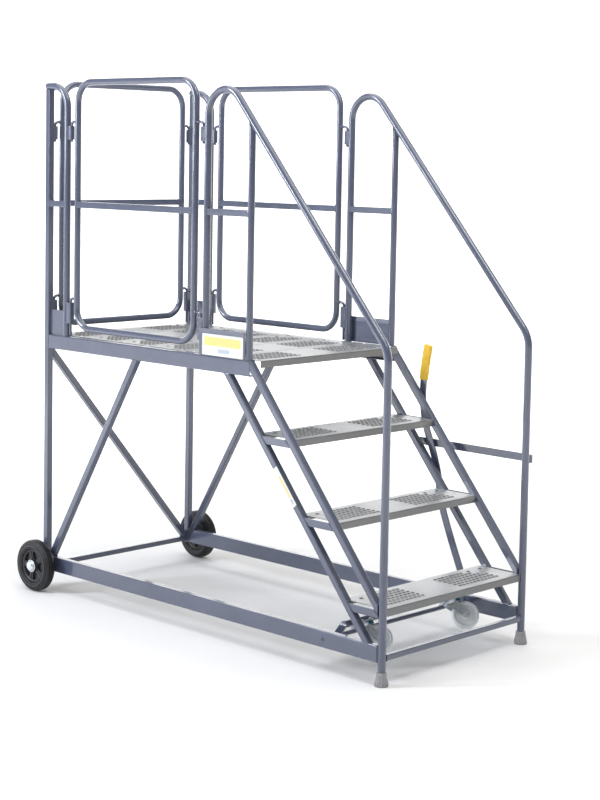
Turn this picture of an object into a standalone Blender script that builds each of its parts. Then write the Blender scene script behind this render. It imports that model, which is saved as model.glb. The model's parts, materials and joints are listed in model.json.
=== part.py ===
"""Mobile ladder stand: a guarded work platform on a wheeled steel frame.

Metres, +Z up. X runs from the rear wheels to the foot of the steps, Y across
the width (near side negative). Sizes in the plan are measured from the rear
posts; one empty then moves the whole stand so that its origin is at the
middle of its floor area.
"""

import math

import bmesh
import bpy
from mathutils import Matrix, Vector

# ---------------------------------------------------------------- driving sizes
RISE = 0.254
TREAD_COUNT = 3
DECK_TOP = RISE * (TREAD_COUNT + 1)
SIDE_Y = 0.376
FRONT_LEG_X = 1.770
PLATFORM_END_X = 1.141
PLATFORM_NOSE_X = 1.172
REAR_WHEEL_RADIUS = 0.100
GUIDE_FRONT_X = 1.800
CENTRE_X = (GUIDE_FRONT_X - REAR_WHEEL_RADIUS) / 2

GAP = 0.0003
POST = 0.025
CROSS_BAR = 0.020
RAIL_WIDE = 0.025
RAIL_DEEP = 0.058
RAIL_TOP = 0.135
CHANNEL_DEEP = 0.055
CHANNEL_TOP = DECK_TOP - 0.002
CHANNEL_WALL = 0.003
CROSS_BAR_Z = 0.093
SIDE_BRACE_X = (0.034, 0.528)
REAR_BRACE_DROP = 0.013

TUBE_R = 0.0135
GATE_TUBE_R = 0.0125
GATE_CORNER = 0.075
GATE_TOP = 1.992
GATE_BOTTOM = 1.052
MID_RAIL_Z = 1.526
MID_RAIL = 0.024

HOOP_X = 0.1107
HOOP_TOP = 1.979
HOOP_BEND = 0.085
HANDRAIL_X = 0.904
FRONT_POST_X = 1.127
ELBOW_Z = 1.105
HANDRAIL_RISE = 1.154
HANDRAIL_TOP_BEND = 0.088
HANDRAIL_ELBOW = 0.110

SIDE_GATE_X = (0.174, 0.840)
REAR_GATE_Y = 0.315
SOCKET_OFFSET = 0.024
SOCKET_R = 0.012
SOCKET_BORE = 0.0066
PIN_R = 0.0055
PIN_BEND = 0.015
UPPER_PIN = (1.842, 1.765)
LOWER_PIN = (1.163, 1.018)
UPPER_SOCKET = (1.774, 1.826)
LOWER_SOCKET = (1.066, 1.147)

STAIR_SLOPE = 1.21
REAR_STRINGER = (1.1006, 0.8675)
FRONT_STRINGER = (1.236, 0.8823)
TREAD_HALF_Y = 0.362
TREAD_DEEP = 0.190
TREAD_NOSE = 0.0162
TRAY_FOLD = 0.025
TRAY_SHEET = 0.002
BRACKET_DEEP = 0.020
BRACKET_THICK = 0.004

PLANK_COUNT = 6
PLANK_HALF_Y = 0.3615
TOE_HIGH = 0.098
TOE_SHEET = 0.003
TOE_OVERHANG = 0.003

WHEEL_WIDE = 0.050
WHEEL_Y = 0.434
HUB_R = 0.0635
HUB_BORE = 0.0103
AXLE_R = 0.010
CAP_R = 0.025

PIVOT_X = 1.515
PIVOT_Z = 0.106
LIFT_ANGLE = math.radians(36.0)
SHAFT_R = 0.008
SHAFT_BORE = 0.0083
LIFT_BAR_X = 0.050
LIFT_BAR_Z = 0.017
LIFT_ARM_Y = 0.325
CASTOR_Y = 0.235
CASTOR_RADIUS = 0.050
CASTOR_WIDE = 0.030
CASTOR_TRAIL = 0.030
CASTOR_SWIVEL = math.radians(55.0)
CASTOR_DROP = 0.010
PLATE_THICK = 0.004

LEVER_Y = 0.399
LEVER_THICK = 0.006
LEVER_WIDE = 0.028
GUIDE_Z = 0.667
GUIDE_DEEP = 0.028
GUIDE_SHEET = 0.003

PAINT = ((0.20, 0.23, 0.30), 0.45, 0.30)
GALVANISED = ((0.63, 0.65, 0.67), 0.42, 0.85)
TYRE_RUBBER = ((0.035, 0.035, 0.037), 0.75, 0.0)
BLACK_PLASTIC = ((0.03, 0.03, 0.032), 0.5, 0.0)
ZINC = ((0.72, 0.74, 0.76), 0.28, 1.0)
NYLON = ((0.80, 0.81, 0.80), 0.45, 0.0)
GREY_PLASTIC = ((0.42, 0.41, 0.43), 0.6, 0.0)
YELLOW_PLASTIC = ((0.80, 0.50, 0.03), 0.45, 0.0)


# ---------------------------------------------------------------- scene helpers
def clear_scene():
    """Remove every object that the file holds."""
    for obj in list(bpy.data.objects):
        bpy.data.objects.remove(obj, do_unlink=True)


def make_collection(name):
    """Return a new collection linked to the scene."""
    group = bpy.data.collections.new(name)
    bpy.context.scene.collection.children.link(group)
    return group


clear_scene()
PARTS = make_collection("mobile_ladder_stand")
CUTTERS = make_collection("cutters")


def add_empty(name, location, rotation=(0, 0, 0), parent=None):
    """Return an empty that other pieces are placed from."""
    empty = bpy.data.objects.new(name, None)
    empty.location = location
    empty.rotation_euler = rotation
    empty.parent = parent
    PARTS.objects.link(empty)
    return empty


STAND = add_empty("stand_frame", (-CENTRE_X, 0, 0))


def make_material(name, finish):
    """Return a Principled material of one finish."""
    colour, roughness, metallic = finish
    material = bpy.data.materials.new(name)
    material.use_nodes = True
    shader = material.node_tree.nodes["Principled BSDF"]
    shader.inputs["Base Color"].default_value = (*colour, 1)
    shader.inputs["Roughness"].default_value = roughness
    shader.inputs["Metallic"].default_value = metallic
    material.diffuse_color = (*colour, 1)
    return material


def as_part(obj, finish, parent=STAND):
    """Put an object in the stand's collection, with its own material."""
    PARTS.objects.link(obj)
    obj.parent = parent
    obj.data.materials.clear()
    obj.data.materials.append(make_material(obj.name + "_finish", finish))
    return obj


def as_cutter(obj, parent=STAND):
    """Put an object with the shapes that are joined to or cut from a part."""
    CUTTERS.objects.link(obj)
    obj.parent = parent
    obj.hide_render = True
    obj.display_type = "WIRE"
    return obj


def combine(part, other, operation):
    """Join another shape to a part, or cut it away, with an exact Boolean."""
    boolean = part.modifiers.new(other.name, "BOOLEAN")
    boolean.operation = operation
    boolean.solver = "EXACT"
    boolean.object = other


# ---------------------------------------------------------------- shape helpers
def mesh_object(name, bm):
    """Return an object that holds the bmesh, which is freed."""
    mesh = bpy.data.meshes.new(name)
    bmesh.ops.recalc_face_normals(bm, faces=bm.faces)
    if bm.calc_volume(signed=True) < 0:
        bmesh.ops.reverse_faces(bm, faces=bm.faces)
    bm.to_mesh(mesh)
    bm.free()
    return bpy.data.objects.new(name, mesh)


def box(name, low, high):
    """Return a box between two corners."""
    bm = bmesh.new()
    bmesh.ops.create_cube(bm, size=1.0)
    size = Vector(high) - Vector(low)
    middle = (Vector(high) + Vector(low)) / 2
    bmesh.ops.scale(bm, vec=size, verts=bm.verts)
    bmesh.ops.translate(bm, vec=middle, verts=bm.verts)
    return mesh_object(name, bm)


def bar(name, start, end, width, cuts=()):
    """Return a square bar along a line, trimmed by planes.

    Each cut is a point and a normal; what lies on the normal's side goes.
    """
    start = Vector(start)
    end = Vector(end)
    run = end - start
    bm = bmesh.new()
    bmesh.ops.create_cube(bm, size=1.0)
    bmesh.ops.scale(bm, vec=(run.length + 4 * width, width, width), verts=bm.verts)
    across = Vector((0, 1, 0)) if abs(run.y) < 1e-9 else Vector((1, 0, 0))
    forward = run.normalized()
    upward = forward.cross(across)
    turn = Matrix((forward, across, upward)).transposed()
    bmesh.ops.rotate(bm, matrix=turn, verts=bm.verts)
    bmesh.ops.translate(bm, vec=(start + end) / 2, verts=bm.verts)
    for point, normal in cuts:
        trim(bm, point, normal)
    return mesh_object(name, bm)


def trim(bm, point, normal):
    """Cut a closed bmesh by a plane and close it again."""
    everything = list(bm.verts) + list(bm.edges) + list(bm.faces)
    cut = bmesh.ops.bisect_plane(
        bm, geom=everything, plane_co=point, plane_no=normal, clear_outer=True, dist=1e-6
    )
    rim = [item for item in cut["geom_cut"] if isinstance(item, bmesh.types.BMEdge)]
    bmesh.ops.holes_fill(bm, edges=rim, sides=0)


def rounded(corners, radius, segments=5, closed=False):
    """Return a path through the corners, with an arc at each inner corner."""
    corners = [Vector(corner) for corner in corners]
    path = []
    count = len(corners)
    for index, corner in enumerate(corners):
        if not closed and index in (0, count - 1):
            path.append(corner)
            continue
        back = (corners[index - 1] - corner).normalized()
        ahead = (corners[(index + 1) % count] - corner).normalized()
        half = back.angle(ahead) / 2
        bend = radius[index] if isinstance(radius, dict) else radius
        centre = corner + (back + ahead).normalized() * (bend / math.sin(half))
        first = corner + back * (bend / math.tan(half)) - centre
        last = corner + ahead * (bend / math.tan(half)) - centre
        turn = first.angle(last)
        for step in range(segments + 1):
            share = step / segments
            weight_first = math.sin((1 - share) * turn) / math.sin(turn)
            weight_last = math.sin(share * turn) / math.sin(turn)
            path.append(centre + first * weight_first + last * weight_last)
    return path


def curve_to_mesh(name, curve):
    """Return a welded mesh object made from a curve's shape."""
    guide = bpy.data.objects.new(name + "_guide", curve)
    bpy.context.scene.collection.objects.link(guide)
    bpy.context.view_layer.update()
    shape = guide.evaluated_get(bpy.context.evaluated_depsgraph_get())
    mesh = bpy.data.meshes.new_from_object(shape)
    bpy.data.objects.remove(guide, do_unlink=True)
    bm = bmesh.new()
    bm.from_mesh(mesh)
    bmesh.ops.remove_doubles(bm, verts=bm.verts, dist=1e-6)
    bpy.data.meshes.remove(mesh)
    return bm


def tube_bmesh(name, path, radius, closed=False):
    """Return a bmesh of a twelve-sided tube along a path."""
    curve = bpy.data.curves.new(name, "CURVE")
    curve.dimensions = "3D"
    curve.bevel_depth = radius
    curve.bevel_resolution = 4
    curve.use_fill_caps = True
    spline = curve.splines.new("POLY")
    spline.points.add(len(path) - 1)
    for point, place in zip(spline.points, path):
        point.co = (*place, 1)
    spline.use_cyclic_u = closed
    return curve_to_mesh(name, curve)


def tube(name, path, radius, closed=False, cuts=()):
    """Return a tube along a path, trimmed by planes."""
    bm = tube_bmesh(name, path, radius, closed)
    for point, normal in cuts:
        trim(bm, point, normal)
    return mesh_object(name, bm)


def plate(name, outline, low, high, axis="Z"):
    """Return a flat outline given thickness along Z, Y or X.

    The outline is in (x, y) for Z, (x, z) for Y and (y, z) for X.
    """
    curve = bpy.data.curves.new(name, "CURVE")
    curve.dimensions = "2D"
    curve.fill_mode = "BOTH"
    curve.extrude = (high - low) / 2
    spline = curve.splines.new("POLY")
    spline.points.add(len(outline) - 1)
    for point, place in zip(spline.points, outline):
        point.co = (place[0], place[1], 0, 1)
    spline.use_cyclic_u = True
    bm = curve_to_mesh(name, curve)
    bmesh.ops.translate(bm, vec=(0, 0, (low + high) / 2), verts=bm.verts)
    if axis == "Y":
        turn = Matrix(((1, 0, 0), (0, 0, 1), (0, 1, 0)))
    elif axis == "X":
        turn = Matrix(((0, 0, 1), (1, 0, 0), (0, 1, 0)))
    else:
        turn = Matrix.Identity(3)
    for vert in bm.verts:
        vert.co = turn @ vert.co
    return mesh_object(name, bm)


def strip_outline(path, width):
    """Return the outline of a strip of even width along a flat path."""
    path = [Vector(place) for place in path]
    left = []
    right = []
    for index, place in enumerate(path):
        back = path[max(index - 1, 0)]
        ahead = path[min(index + 1, len(path) - 1)]
        run = (ahead - back).normalized()
        side = Vector((-run.y, run.x)) * (width / 2)
        left.append(place + side)
        right.append(place - side)
    return left + right[::-1]


def turned(name, profile, steps, closed=True):
    """Return a mesh turned about Z from a (radius, height) profile."""
    bm = bmesh.new()
    verts = [bm.verts.new((radius, 0, height)) for radius, height in profile]
    pairs = list(zip(verts, verts[1:]))
    if closed:
        pairs.append((verts[-1], verts[0]))
    for first, second in pairs:
        bm.edges.new((first, second))
    mesh = bpy.data.meshes.new(name)
    bm.to_mesh(mesh)
    bm.free()
    obj = bpy.data.objects.new(name, mesh)
    screw = obj.modifiers.new("turn", "SCREW")
    screw.steps = steps
    screw.render_steps = steps
    screw.use_merge_vertices = True
    screw.merge_threshold = 0.00001
    screw.use_smooth_shade = True
    return obj


def cylinder(name, radius, start, end, sides=16):
    """Return a cylinder between two points."""
    start = Vector(start)
    end = Vector(end)
    run = end - start
    bm = bmesh.new()
    bmesh.ops.create_cone(
        bm, cap_ends=True, segments=sides, radius1=radius, radius2=radius, depth=run.length
    )
    turn = run.to_track_quat("Z", "Y").to_matrix()
    bmesh.ops.rotate(bm, matrix=turn, verts=bm.verts)
    bmesh.ops.translate(bm, vec=(start + end) / 2, verts=bm.verts)
    return mesh_object(name, bm)


SIDES = (("near", -1), ("far", 1))


# ---------------------------------------------------------------- base and posts
def build_base():
    """Build the base rails, cross bars, rear posts and braces."""
    rail_front = FRONT_LEG_X - TUBE_R - GAP
    for side, sign in SIDES:
        middle = sign * SIDE_Y
        half = RAIL_WIDE / 2
        low = (POST / 2 + GAP, middle - half, RAIL_TOP - RAIL_DEEP)
        rail = as_part(box(f"base_rail_{side}", low, (rail_front, middle + half, RAIL_TOP)), PAINT)
        start = (PIVOT_X, middle - RAIL_WIDE, PIVOT_Z)
        end = (PIVOT_X, middle + RAIL_WIDE, PIVOT_Z)
        combine(rail, as_cutter(cylinder(f"shaft_hole_{side}", SHAFT_BORE, start, end)), "DIFFERENCE")
        build_rear_post(side, sign)
        build_side_brace(side, sign)
    reach = SIDE_Y - POST / 2 - GAP
    half = CROSS_BAR / 2
    low = (-half, -reach, CROSS_BAR_Z - half)
    as_part(box("rear_cross_bar", low, (half, reach, CROSS_BAR_Z + half)), PAINT)
    reach = SIDE_Y - TUBE_R - GAP
    low = (FRONT_LEG_X - half, -reach, CROSS_BAR_Z - half)
    as_part(box("front_cross_bar", low, (FRONT_LEG_X + half, reach, CROSS_BAR_Z + half)), PAINT)
    build_rear_brace()


def build_rear_post(side, sign):
    """Build one rear post with the rear gate's two sockets."""
    middle = sign * SIDE_Y
    half = POST / 2
    low = (-half, middle - half, RAIL_TOP - RAIL_DEEP)
    high = (half, middle + half, HOOP_TOP - TUBE_R - GAP)
    post = as_part(box(f"rear_post_{side}", low, high), PAINT)
    socket_y = sign * (SIDE_Y - SOCKET_OFFSET)
    add_sockets(post, f"rear_{side}", (0, socket_y))


def add_sockets(post, label, place):
    """Join an upper and a lower gate socket to a post, and bore them."""
    for level, (low, high) in (("upper", UPPER_SOCKET), ("lower", LOWER_SOCKET)):
        sleeve = cylinder(f"{label}_{level}_sleeve", SOCKET_R, (*place, low), (*place, high))
        combine(post, as_cutter(sleeve), "UNION")
    for level, (low, high) in (("upper", UPPER_SOCKET), ("lower", LOWER_SOCKET)):
        start = (*place, low - SOCKET_R)
        end = (*place, high + SOCKET_R)
        bore = cylinder(f"{label}_{level}_bore", SOCKET_BORE, start, end, 12)
        combine(post, as_cutter(bore), "DIFFERENCE")


def build_side_brace(side, sign):
    """Build the brace from the rail's rear end up to the platform's side."""
    middle = sign * SIDE_Y
    channel_bottom = CHANNEL_TOP - CHANNEL_DEEP
    start = (SIDE_BRACE_X[0], middle, RAIL_TOP)
    end = (SIDE_BRACE_X[1], middle, channel_bottom)
    cuts = (
        ((0, 0, RAIL_TOP + GAP), (0, 0, -1)),
        ((0, 0, channel_bottom - GAP), (0, 0, 1)),
    )
    as_part(bar(f"side_brace_{side}", start, end, POST, cuts), PAINT)


def build_rear_brace():
    """Build the diagonal between the rear posts."""
    reach = SIDE_Y - POST / 2
    channel_bottom = CHANNEL_TOP - CHANNEL_DEEP
    start = (0, -reach, channel_bottom - REAR_BRACE_DROP)
    end = (0, reach, CROSS_BAR_Z)
    cuts = (
        ((0, -reach + GAP, 0), (0, -1, 0)),
        ((0, reach - GAP, 0), (0, 1, 0)),
        ((0, 0, channel_bottom - GAP), (0, 0, 1)),
        ((0, 0, CROSS_BAR_Z + CROSS_BAR / 2 + GAP), (0, 0, -1)),
    )
    as_part(bar("rear_brace", start, end, POST, cuts), PAINT)


# ---------------------------------------------------------------- platform
def tray_outline(rear, front, top):
    """Return the folded section of a tread or plank, in (x, z)."""
    inner_top = top - TRAY_SHEET
    bottom = top - TRAY_FOLD
    return [
        (rear, bottom),
        (rear + TRAY_SHEET, bottom),
        (rear + TRAY_SHEET, inner_top),
        (front - TRAY_SHEET, inner_top),
        (front - TRAY_SHEET, bottom),
        (front, bottom),
        (front, top),
        (rear, top),
    ]


def build_platform():
    """Build the side channels, the rear channel and the deck planks."""
    half = POST / 2
    bottom = CHANNEL_TOP - CHANNEL_DEEP
    for side, sign in SIDES:
        outer = sign * (SIDE_Y + half)
        inner = sign * (SIDE_Y - half)
        web = sign * (SIDE_Y + half - CHANNEL_WALL)
        section = [
            (outer, bottom),
            (inner, bottom),
            (inner, bottom + CHANNEL_WALL),
            (web, bottom + CHANNEL_WALL),
            (web, CHANNEL_TOP - CHANNEL_WALL),
            (inner, CHANNEL_TOP - CHANNEL_WALL),
            (inner, CHANNEL_TOP),
            (outer, CHANNEL_TOP),
        ]
        name = f"deck_channel_{side}"
        as_part(plate(name, section, half + GAP, PLATFORM_END_X, "X"), PAINT)
    reach = SIDE_Y - half - GAP
    as_part(box("deck_end_rail", (-half, -reach, bottom), (half, reach, CHANNEL_TOP)), PAINT)
    rear = half + GAP
    pitch = (PLATFORM_NOSE_X - rear) / PLANK_COUNT
    for index in range(PLANK_COUNT):
        start = rear + index * pitch
        section = tray_outline(start, start + pitch - 2 * GAP, DECK_TOP)
        name = f"deck_plank_{index + 1}"
        as_part(plate(name, section, -PLANK_HALF_Y, PLANK_HALF_Y, "Y"), GALVANISED)


# ---------------------------------------------------------------- stair
def stringer_x(stringer, height):
    """Return where a stringer's centre line is at a height."""
    return stringer[0] + (stringer[1] - height) / STAIR_SLOPE


def build_stair():
    """Build the four stringers and the treads between them."""
    for side, sign in SIDES:
        build_rear_stringer(side, sign)
        middle = sign * SIDE_Y
        start = (stringer_x(FRONT_STRINGER, 1.0), middle, 1.0)
        end = (stringer_x(FRONT_STRINGER, 0.25), middle, 0.25)
        cuts = (
            ((PLATFORM_END_X + GAP, 0, 0), (-1, 0, 0)),
            ((FRONT_LEG_X - TUBE_R - GAP, 0, 0), (1, 0, 0)),
        )
        as_part(bar(f"front_stringer_{side}", start, end, POST, cuts), PAINT)
    for index in range(TREAD_COUNT):
        top = RISE * (index + 1)
        front = stringer_x(FRONT_STRINGER, top) + TREAD_NOSE
        section = tray_outline(front - TREAD_DEEP, front, top)
        name = f"tread_{index + 1}"
        as_part(plate(name, section, -TREAD_HALF_Y, TREAD_HALF_Y, "Y"), GALVANISED)


def build_rear_stringer(side, sign):
    """Build a rear stringer with the brackets that carry the tread ends."""
    middle = sign * SIDE_Y
    channel_bottom = CHANNEL_TOP - CHANNEL_DEEP
    start = (stringer_x(REAR_STRINGER, channel_bottom), middle, channel_bottom)
    end = (stringer_x(REAR_STRINGER, RAIL_TOP), middle, RAIL_TOP)
    cuts = (
        ((0, 0, channel_bottom - GAP), (0, 0, 1)),
        ((0, 0, RAIL_TOP + GAP), (0, 0, -1)),
    )
    stringer = as_part(bar(f"rear_stringer_{side}", start, end, POST, cuts), PAINT)
    thick = BRACKET_THICK / 2
    reach = POST / 2 / math.sin(math.atan(STAIR_SLOPE)) + BRACKET_DEEP / STAIR_SLOPE + GAP
    for index in range(TREAD_COUNT):
        top = RISE * (index + 1) - TRAY_SHEET
        rear = stringer_x(REAR_STRINGER, top)
        front = stringer_x(FRONT_STRINGER, top) - reach + BRACKET_DEEP / STAIR_SLOPE
        low = (rear, middle - thick, top - BRACKET_DEEP)
        bracket = box(f"bracket_{side}_{index + 1}", low, (front, middle + thick, top))
        combine(stringer, as_cutter(bracket), "UNION")


# ---------------------------------------------------------------- guards
def build_handrail(side, sign):
    """Build one handrail: front leg, slope, top bend and rear upright."""
    middle = sign * SIDE_Y
    slope = math.atan(HANDRAIL_RISE)
    lift = FRONT_LEG_X - HANDRAIL_X
    corner_z = ELBOW_Z + lift * HANDRAIL_RISE
    corners = [
        (FRONT_LEG_X, middle, 0.008),
        (FRONT_LEG_X, middle, ELBOW_Z),
        (HANDRAIL_X, middle, corner_z),
        (HANDRAIL_X, middle, CHANNEL_TOP + GAP),
    ]
    path = rounded(corners, {1: HANDRAIL_ELBOW, 2: HANDRAIL_TOP_BEND}, 8)
    rail = as_part(tube(f"handrail_{side}", path, TUBE_R), PAINT)
    add_sockets(rail, f"handrail_{side}", (HANDRAIL_X - SOCKET_OFFSET, middle))
    drop = TUBE_R / math.cos(slope) + GAP
    under = (FRONT_POST_X, middle, ELBOW_Z + (FRONT_LEG_X - FRONT_POST_X) * HANDRAIL_RISE - drop)
    normal = (HANDRAIL_RISE, 0, 1)
    path = [(FRONT_POST_X, middle, CHANNEL_TOP + GAP), (FRONT_POST_X, middle, under[2] + 0.05)]
    post = tube(f"front_post_{side}", path, GATE_TUBE_R, cuts=((under, normal),))
    as_part(post, PAINT)
    half = MID_RAIL / 2
    low = (HANDRAIL_X + TUBE_R + GAP, middle - half, MID_RAIL_Z - half)
    high = (FRONT_POST_X - GATE_TUBE_R - GAP, middle + half, MID_RAIL_Z + half)
    as_part(box(f"handrail_mid_rail_{side}", low, high), PAINT)
    inner = SIDE_Y + TUBE_R + GAP
    outer = inner + TOE_SHEET
    ends = sorted((sign * inner, sign * outer))
    low = (HANDRAIL_X - TUBE_R - TOE_OVERHANG, ends[0], CHANNEL_TOP + GAP)
    high = (FRONT_POST_X - GATE_TUBE_R / 2, ends[1], CHANNEL_TOP + TOE_HIGH)
    as_part(box(f"front_toe_plate_{side}", low, high), PAINT)


def build_corner(side, sign):
    """Build one rear corner: bent hoop, mid rail and toe plate."""
    middle = sign * SIDE_Y
    half = POST / 2
    corners = [
        (-half, middle, HOOP_TOP),
        (HOOP_X, middle, HOOP_TOP),
        (HOOP_X, middle, CHANNEL_TOP + GAP),
    ]
    hoop = as_part(tube(f"corner_hoop_{side}", rounded(corners, HOOP_BEND, 6), TUBE_R), PAINT)
    add_sockets(hoop, f"hoop_{side}", (HOOP_X + SOCKET_OFFSET, middle))
    thin = MID_RAIL / 2
    low = (half + GAP, middle - thin, MID_RAIL_Z - thin)
    high = (HOOP_X - TUBE_R - GAP, middle + thin, MID_RAIL_Z + thin)
    as_part(box(f"corner_mid_rail_{side}", low, high), PAINT)
    thin = TOE_SHEET / 2
    low = (half + GAP, middle - thin, CHANNEL_TOP + GAP)
    high = (HOOP_X - TUBE_R - GAP, middle + thin, CHANNEL_TOP + TOE_HIGH)
    as_part(box(f"rear_toe_plate_{side}", low, high), PAINT)


def build_gate(name, first, last, first_pin, last_pin, place):
    """Build a lift-out gate: a tube loop with a mid rail and four hook pins.

    first and last are the uprights' places along the gate, the pins' places
    lie outside them, and place turns (along, height) into a point.
    """
    corners = [
        place(first, GATE_BOTTOM),
        place(last, GATE_BOTTOM),
        place(last, GATE_TOP),
        place(first, GATE_TOP),
    ]
    loop = tube(name, rounded(corners, GATE_CORNER, 6, True), GATE_TUBE_R, True)
    gate = as_part(loop, PAINT)
    half = MID_RAIL / 2
    centre_low = place(first + GATE_TUBE_R / 2, MID_RAIL_Z - half)
    centre_high = place(last - GATE_TUBE_R / 2, MID_RAIL_Z + half)
    flat = (half, 0, 0) if name == "rear_gate" else (0, half, 0)
    low = Vector(centre_low) - Vector(flat) * 0.9
    high = Vector(centre_high) + Vector(flat) * 0.9
    combine(gate, as_cutter(box(f"{name}_mid", low, high)), "UNION")
    for along, pin in ((first, first_pin), (last, last_pin)):
        for level, (top, end) in (("upper", UPPER_PIN), ("lower", LOWER_PIN)):
            hook = [place(along, top), place(pin, top), place(pin, end)]
            label = f"{name}_{level}_{'first' if along == first else 'last'}"
            rod = tube(label, rounded(hook, PIN_BEND, 4), PIN_R)
            combine(gate, as_cutter(rod), "UNION")
    return gate


def build_gates():
    """Build the two side gates and the rear gate."""
    first, last = SIDE_GATE_X
    for side, sign in SIDES:
        build_gate(
            f"side_gate_{side}",
            first,
            last,
            HOOP_X + SOCKET_OFFSET,
            HANDRAIL_X - SOCKET_OFFSET,
            lambda along, height, y=sign * SIDE_Y: (along, y, height),
        )
    pin = SIDE_Y - SOCKET_OFFSET
    build_gate(
        "rear_gate", -REAR_GATE_Y, REAR_GATE_Y, -pin, pin, lambda along, height: (0, along, height)
    )


# ---------------------------------------------------------------- wheels and feet
def build_rear_wheel(side, sign):
    """Build a rear wheel: tyre, hub and stub axle with its domed cap."""
    turn = (math.radians(-90 * sign), 0, 0)
    centre = (0, sign * WHEEL_Y, REAR_WHEEL_RADIUS)
    half = WHEEL_WIDE / 2
    outer = REAR_WHEEL_RADIUS
    tyre_profile = [
        (HUB_R + GAP, half - 0.009),
        (HUB_R + 0.010, half - 0.002),
        (outer - 0.014, half),
        (outer - 0.004, half - 0.007),
        (outer, half - 0.015),
        (outer, -half + 0.015),
        (outer - 0.004, -half + 0.007),
        (outer - 0.014, -half),
        (HUB_R + 0.010, -half + 0.002),
        (HUB_R + GAP, -half + 0.009),
    ]
    tyre = as_part(turned(f"tyre_{side}", tyre_profile, 32), TYRE_RUBBER)
    hub_profile = [
        (HUB_BORE, half - 0.003),
        (CAP_R, half - 0.003),
        (CAP_R, 0.008),
        (HUB_R - 0.007, 0.008),
        (HUB_R - 0.004, half - 0.010),
        (HUB_R, half - 0.010),
        (HUB_R, -half + 0.010),
        (HUB_R - 0.004, -half + 0.010),
        (HUB_R - 0.007, -0.008),
        (CAP_R, -0.008),
        (CAP_R, -half + 0.003),
        (HUB_BORE, -half + 0.003),
    ]
    hub = as_part(turned(f"wheel_hub_{side}", hub_profile, 32), BLACK_PLASTIC)
    rail_face = SIDE_Y + RAIL_WIDE / 2 + GAP - WHEEL_Y
    cap_face = half - 0.002
    axle_profile = [
        (0, cap_face + 0.014),
        (CAP_R * 0.55, cap_face + 0.012),
        (CAP_R * 0.85, cap_face + 0.007),
        (CAP_R - 0.001, cap_face),
        (AXLE_R, cap_face),
        (AXLE_R, -half + 0.002),
        (0.016, -half + 0.002),
        (0.016, rail_face),
        (0, rail_face),
    ]
    axle = as_part(turned(f"wheel_axle_{side}", axle_profile, 24, False), ZINC)
    for piece in (tyre, hub, axle):
        piece.location = centre
        piece.rotation_euler = turn


def build_foot(side, sign):
    """Build the plastic ferrule that a front leg stands in."""
    profile = [
        (0.0170, 0.046),
        (0.0185, 0.030),
        (0.0220, 0.018),
        (0.0235, 0.006),
        (0.0225, 0.0),
        (0, 0.0),
        (0, 0.0075),
        (TUBE_R + GAP, 0.0075),
        (TUBE_R + GAP, 0.046),
    ]
    foot = as_part(turned(f"foot_{side}", profile, 24), GREY_PLASTIC)
    foot.location = (FRONT_LEG_X, sign * SIDE_Y, 0)


# ---------------------------------------------------------------- castor lift
def build_castor_lift():
    """Build the lifting frame, its lever and the two swivel castors."""
    axis = add_empty("lift_axis", (PIVOT_X, 0, PIVOT_Z), (0, -LIFT_ANGLE, 0), STAND)
    rail_outer = SIDE_Y + RAIL_WIDE / 2
    start = (0, -rail_outer, 0)
    end = (0, LEVER_Y - LEVER_THICK / 2 - GAP, 0)
    frame = as_part(cylinder("lift_frame", SHAFT_R, start, end), PAINT, axis)
    half = CROSS_BAR / 2
    reach = LIFT_ARM_Y
    low = (LIFT_BAR_X - half, -reach, LIFT_BAR_Z - half)
    high = (LIFT_BAR_X + half, reach, LIFT_BAR_Z + half)
    combine(frame, as_cutter(box("lift_bar", low, high), axis), "UNION")
    for side, sign in SIDES:
        ends = sorted((sign * (reach - 0.006), sign * (reach + 0.002)))
        run = strip_outline([(-0.012, -0.004), (LIFT_BAR_X + 0.008, LIFT_BAR_Z)], 0.024)
        arm = plate(f"lift_arm_{side}", run, ends[0], ends[1], "Y")
        combine(frame, as_cutter(arm, axis), "UNION")
        build_castor(side, sign, axis)
    build_lever(axis)


def build_castor(side, sign, axis):
    """Build a castor below the lifting bar: top plate, fork and wheel."""
    plate_top = LIFT_BAR_Z - CROSS_BAR / 2 - GAP
    middle = (LIFT_BAR_X, sign * CASTOR_Y)
    low = (middle[0] - 0.035, middle[1] - 0.030, plate_top - PLATE_THICK)
    high = (middle[0] + 0.035, middle[1] + 0.030, plate_top)
    as_part(box(f"castor_plate_{side}", low, high), ZINC, axis)
    head = plate_top - PLATE_THICK - GAP
    swivel = add_empty(f"swivel_axis_{side}", (*middle, head), (0, 0, CASTOR_SWIVEL), axis)
    wheel_z = CASTOR_RADIUS - CASTOR_DROP - PIVOT_Z - head
    build_fork(side, swivel, wheel_z)
    half = CASTOR_WIDE / 2
    profile = [
        (0.0065, half),
        (0.016, half),
        (0.018, half - 0.004),
        (0.040, half - 0.004),
        (CASTOR_RADIUS - 0.004, half - 0.001),
        (CASTOR_RADIUS, half - 0.006),
        (CASTOR_RADIUS, -half + 0.006),
        (CASTOR_RADIUS - 0.004, -half + 0.001),
        (0.040, -half + 0.004),
        (0.018, -half + 0.004),
        (0.016, -half),
        (0.0065, -half),
    ]
    wheel = as_part(turned(f"castor_wheel_{side}", profile, 24), NYLON, swivel)
    wheel.location = (CASTOR_TRAIL, 0, wheel_z)
    wheel.rotation_euler = (math.radians(-90), 0, 0)


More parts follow.
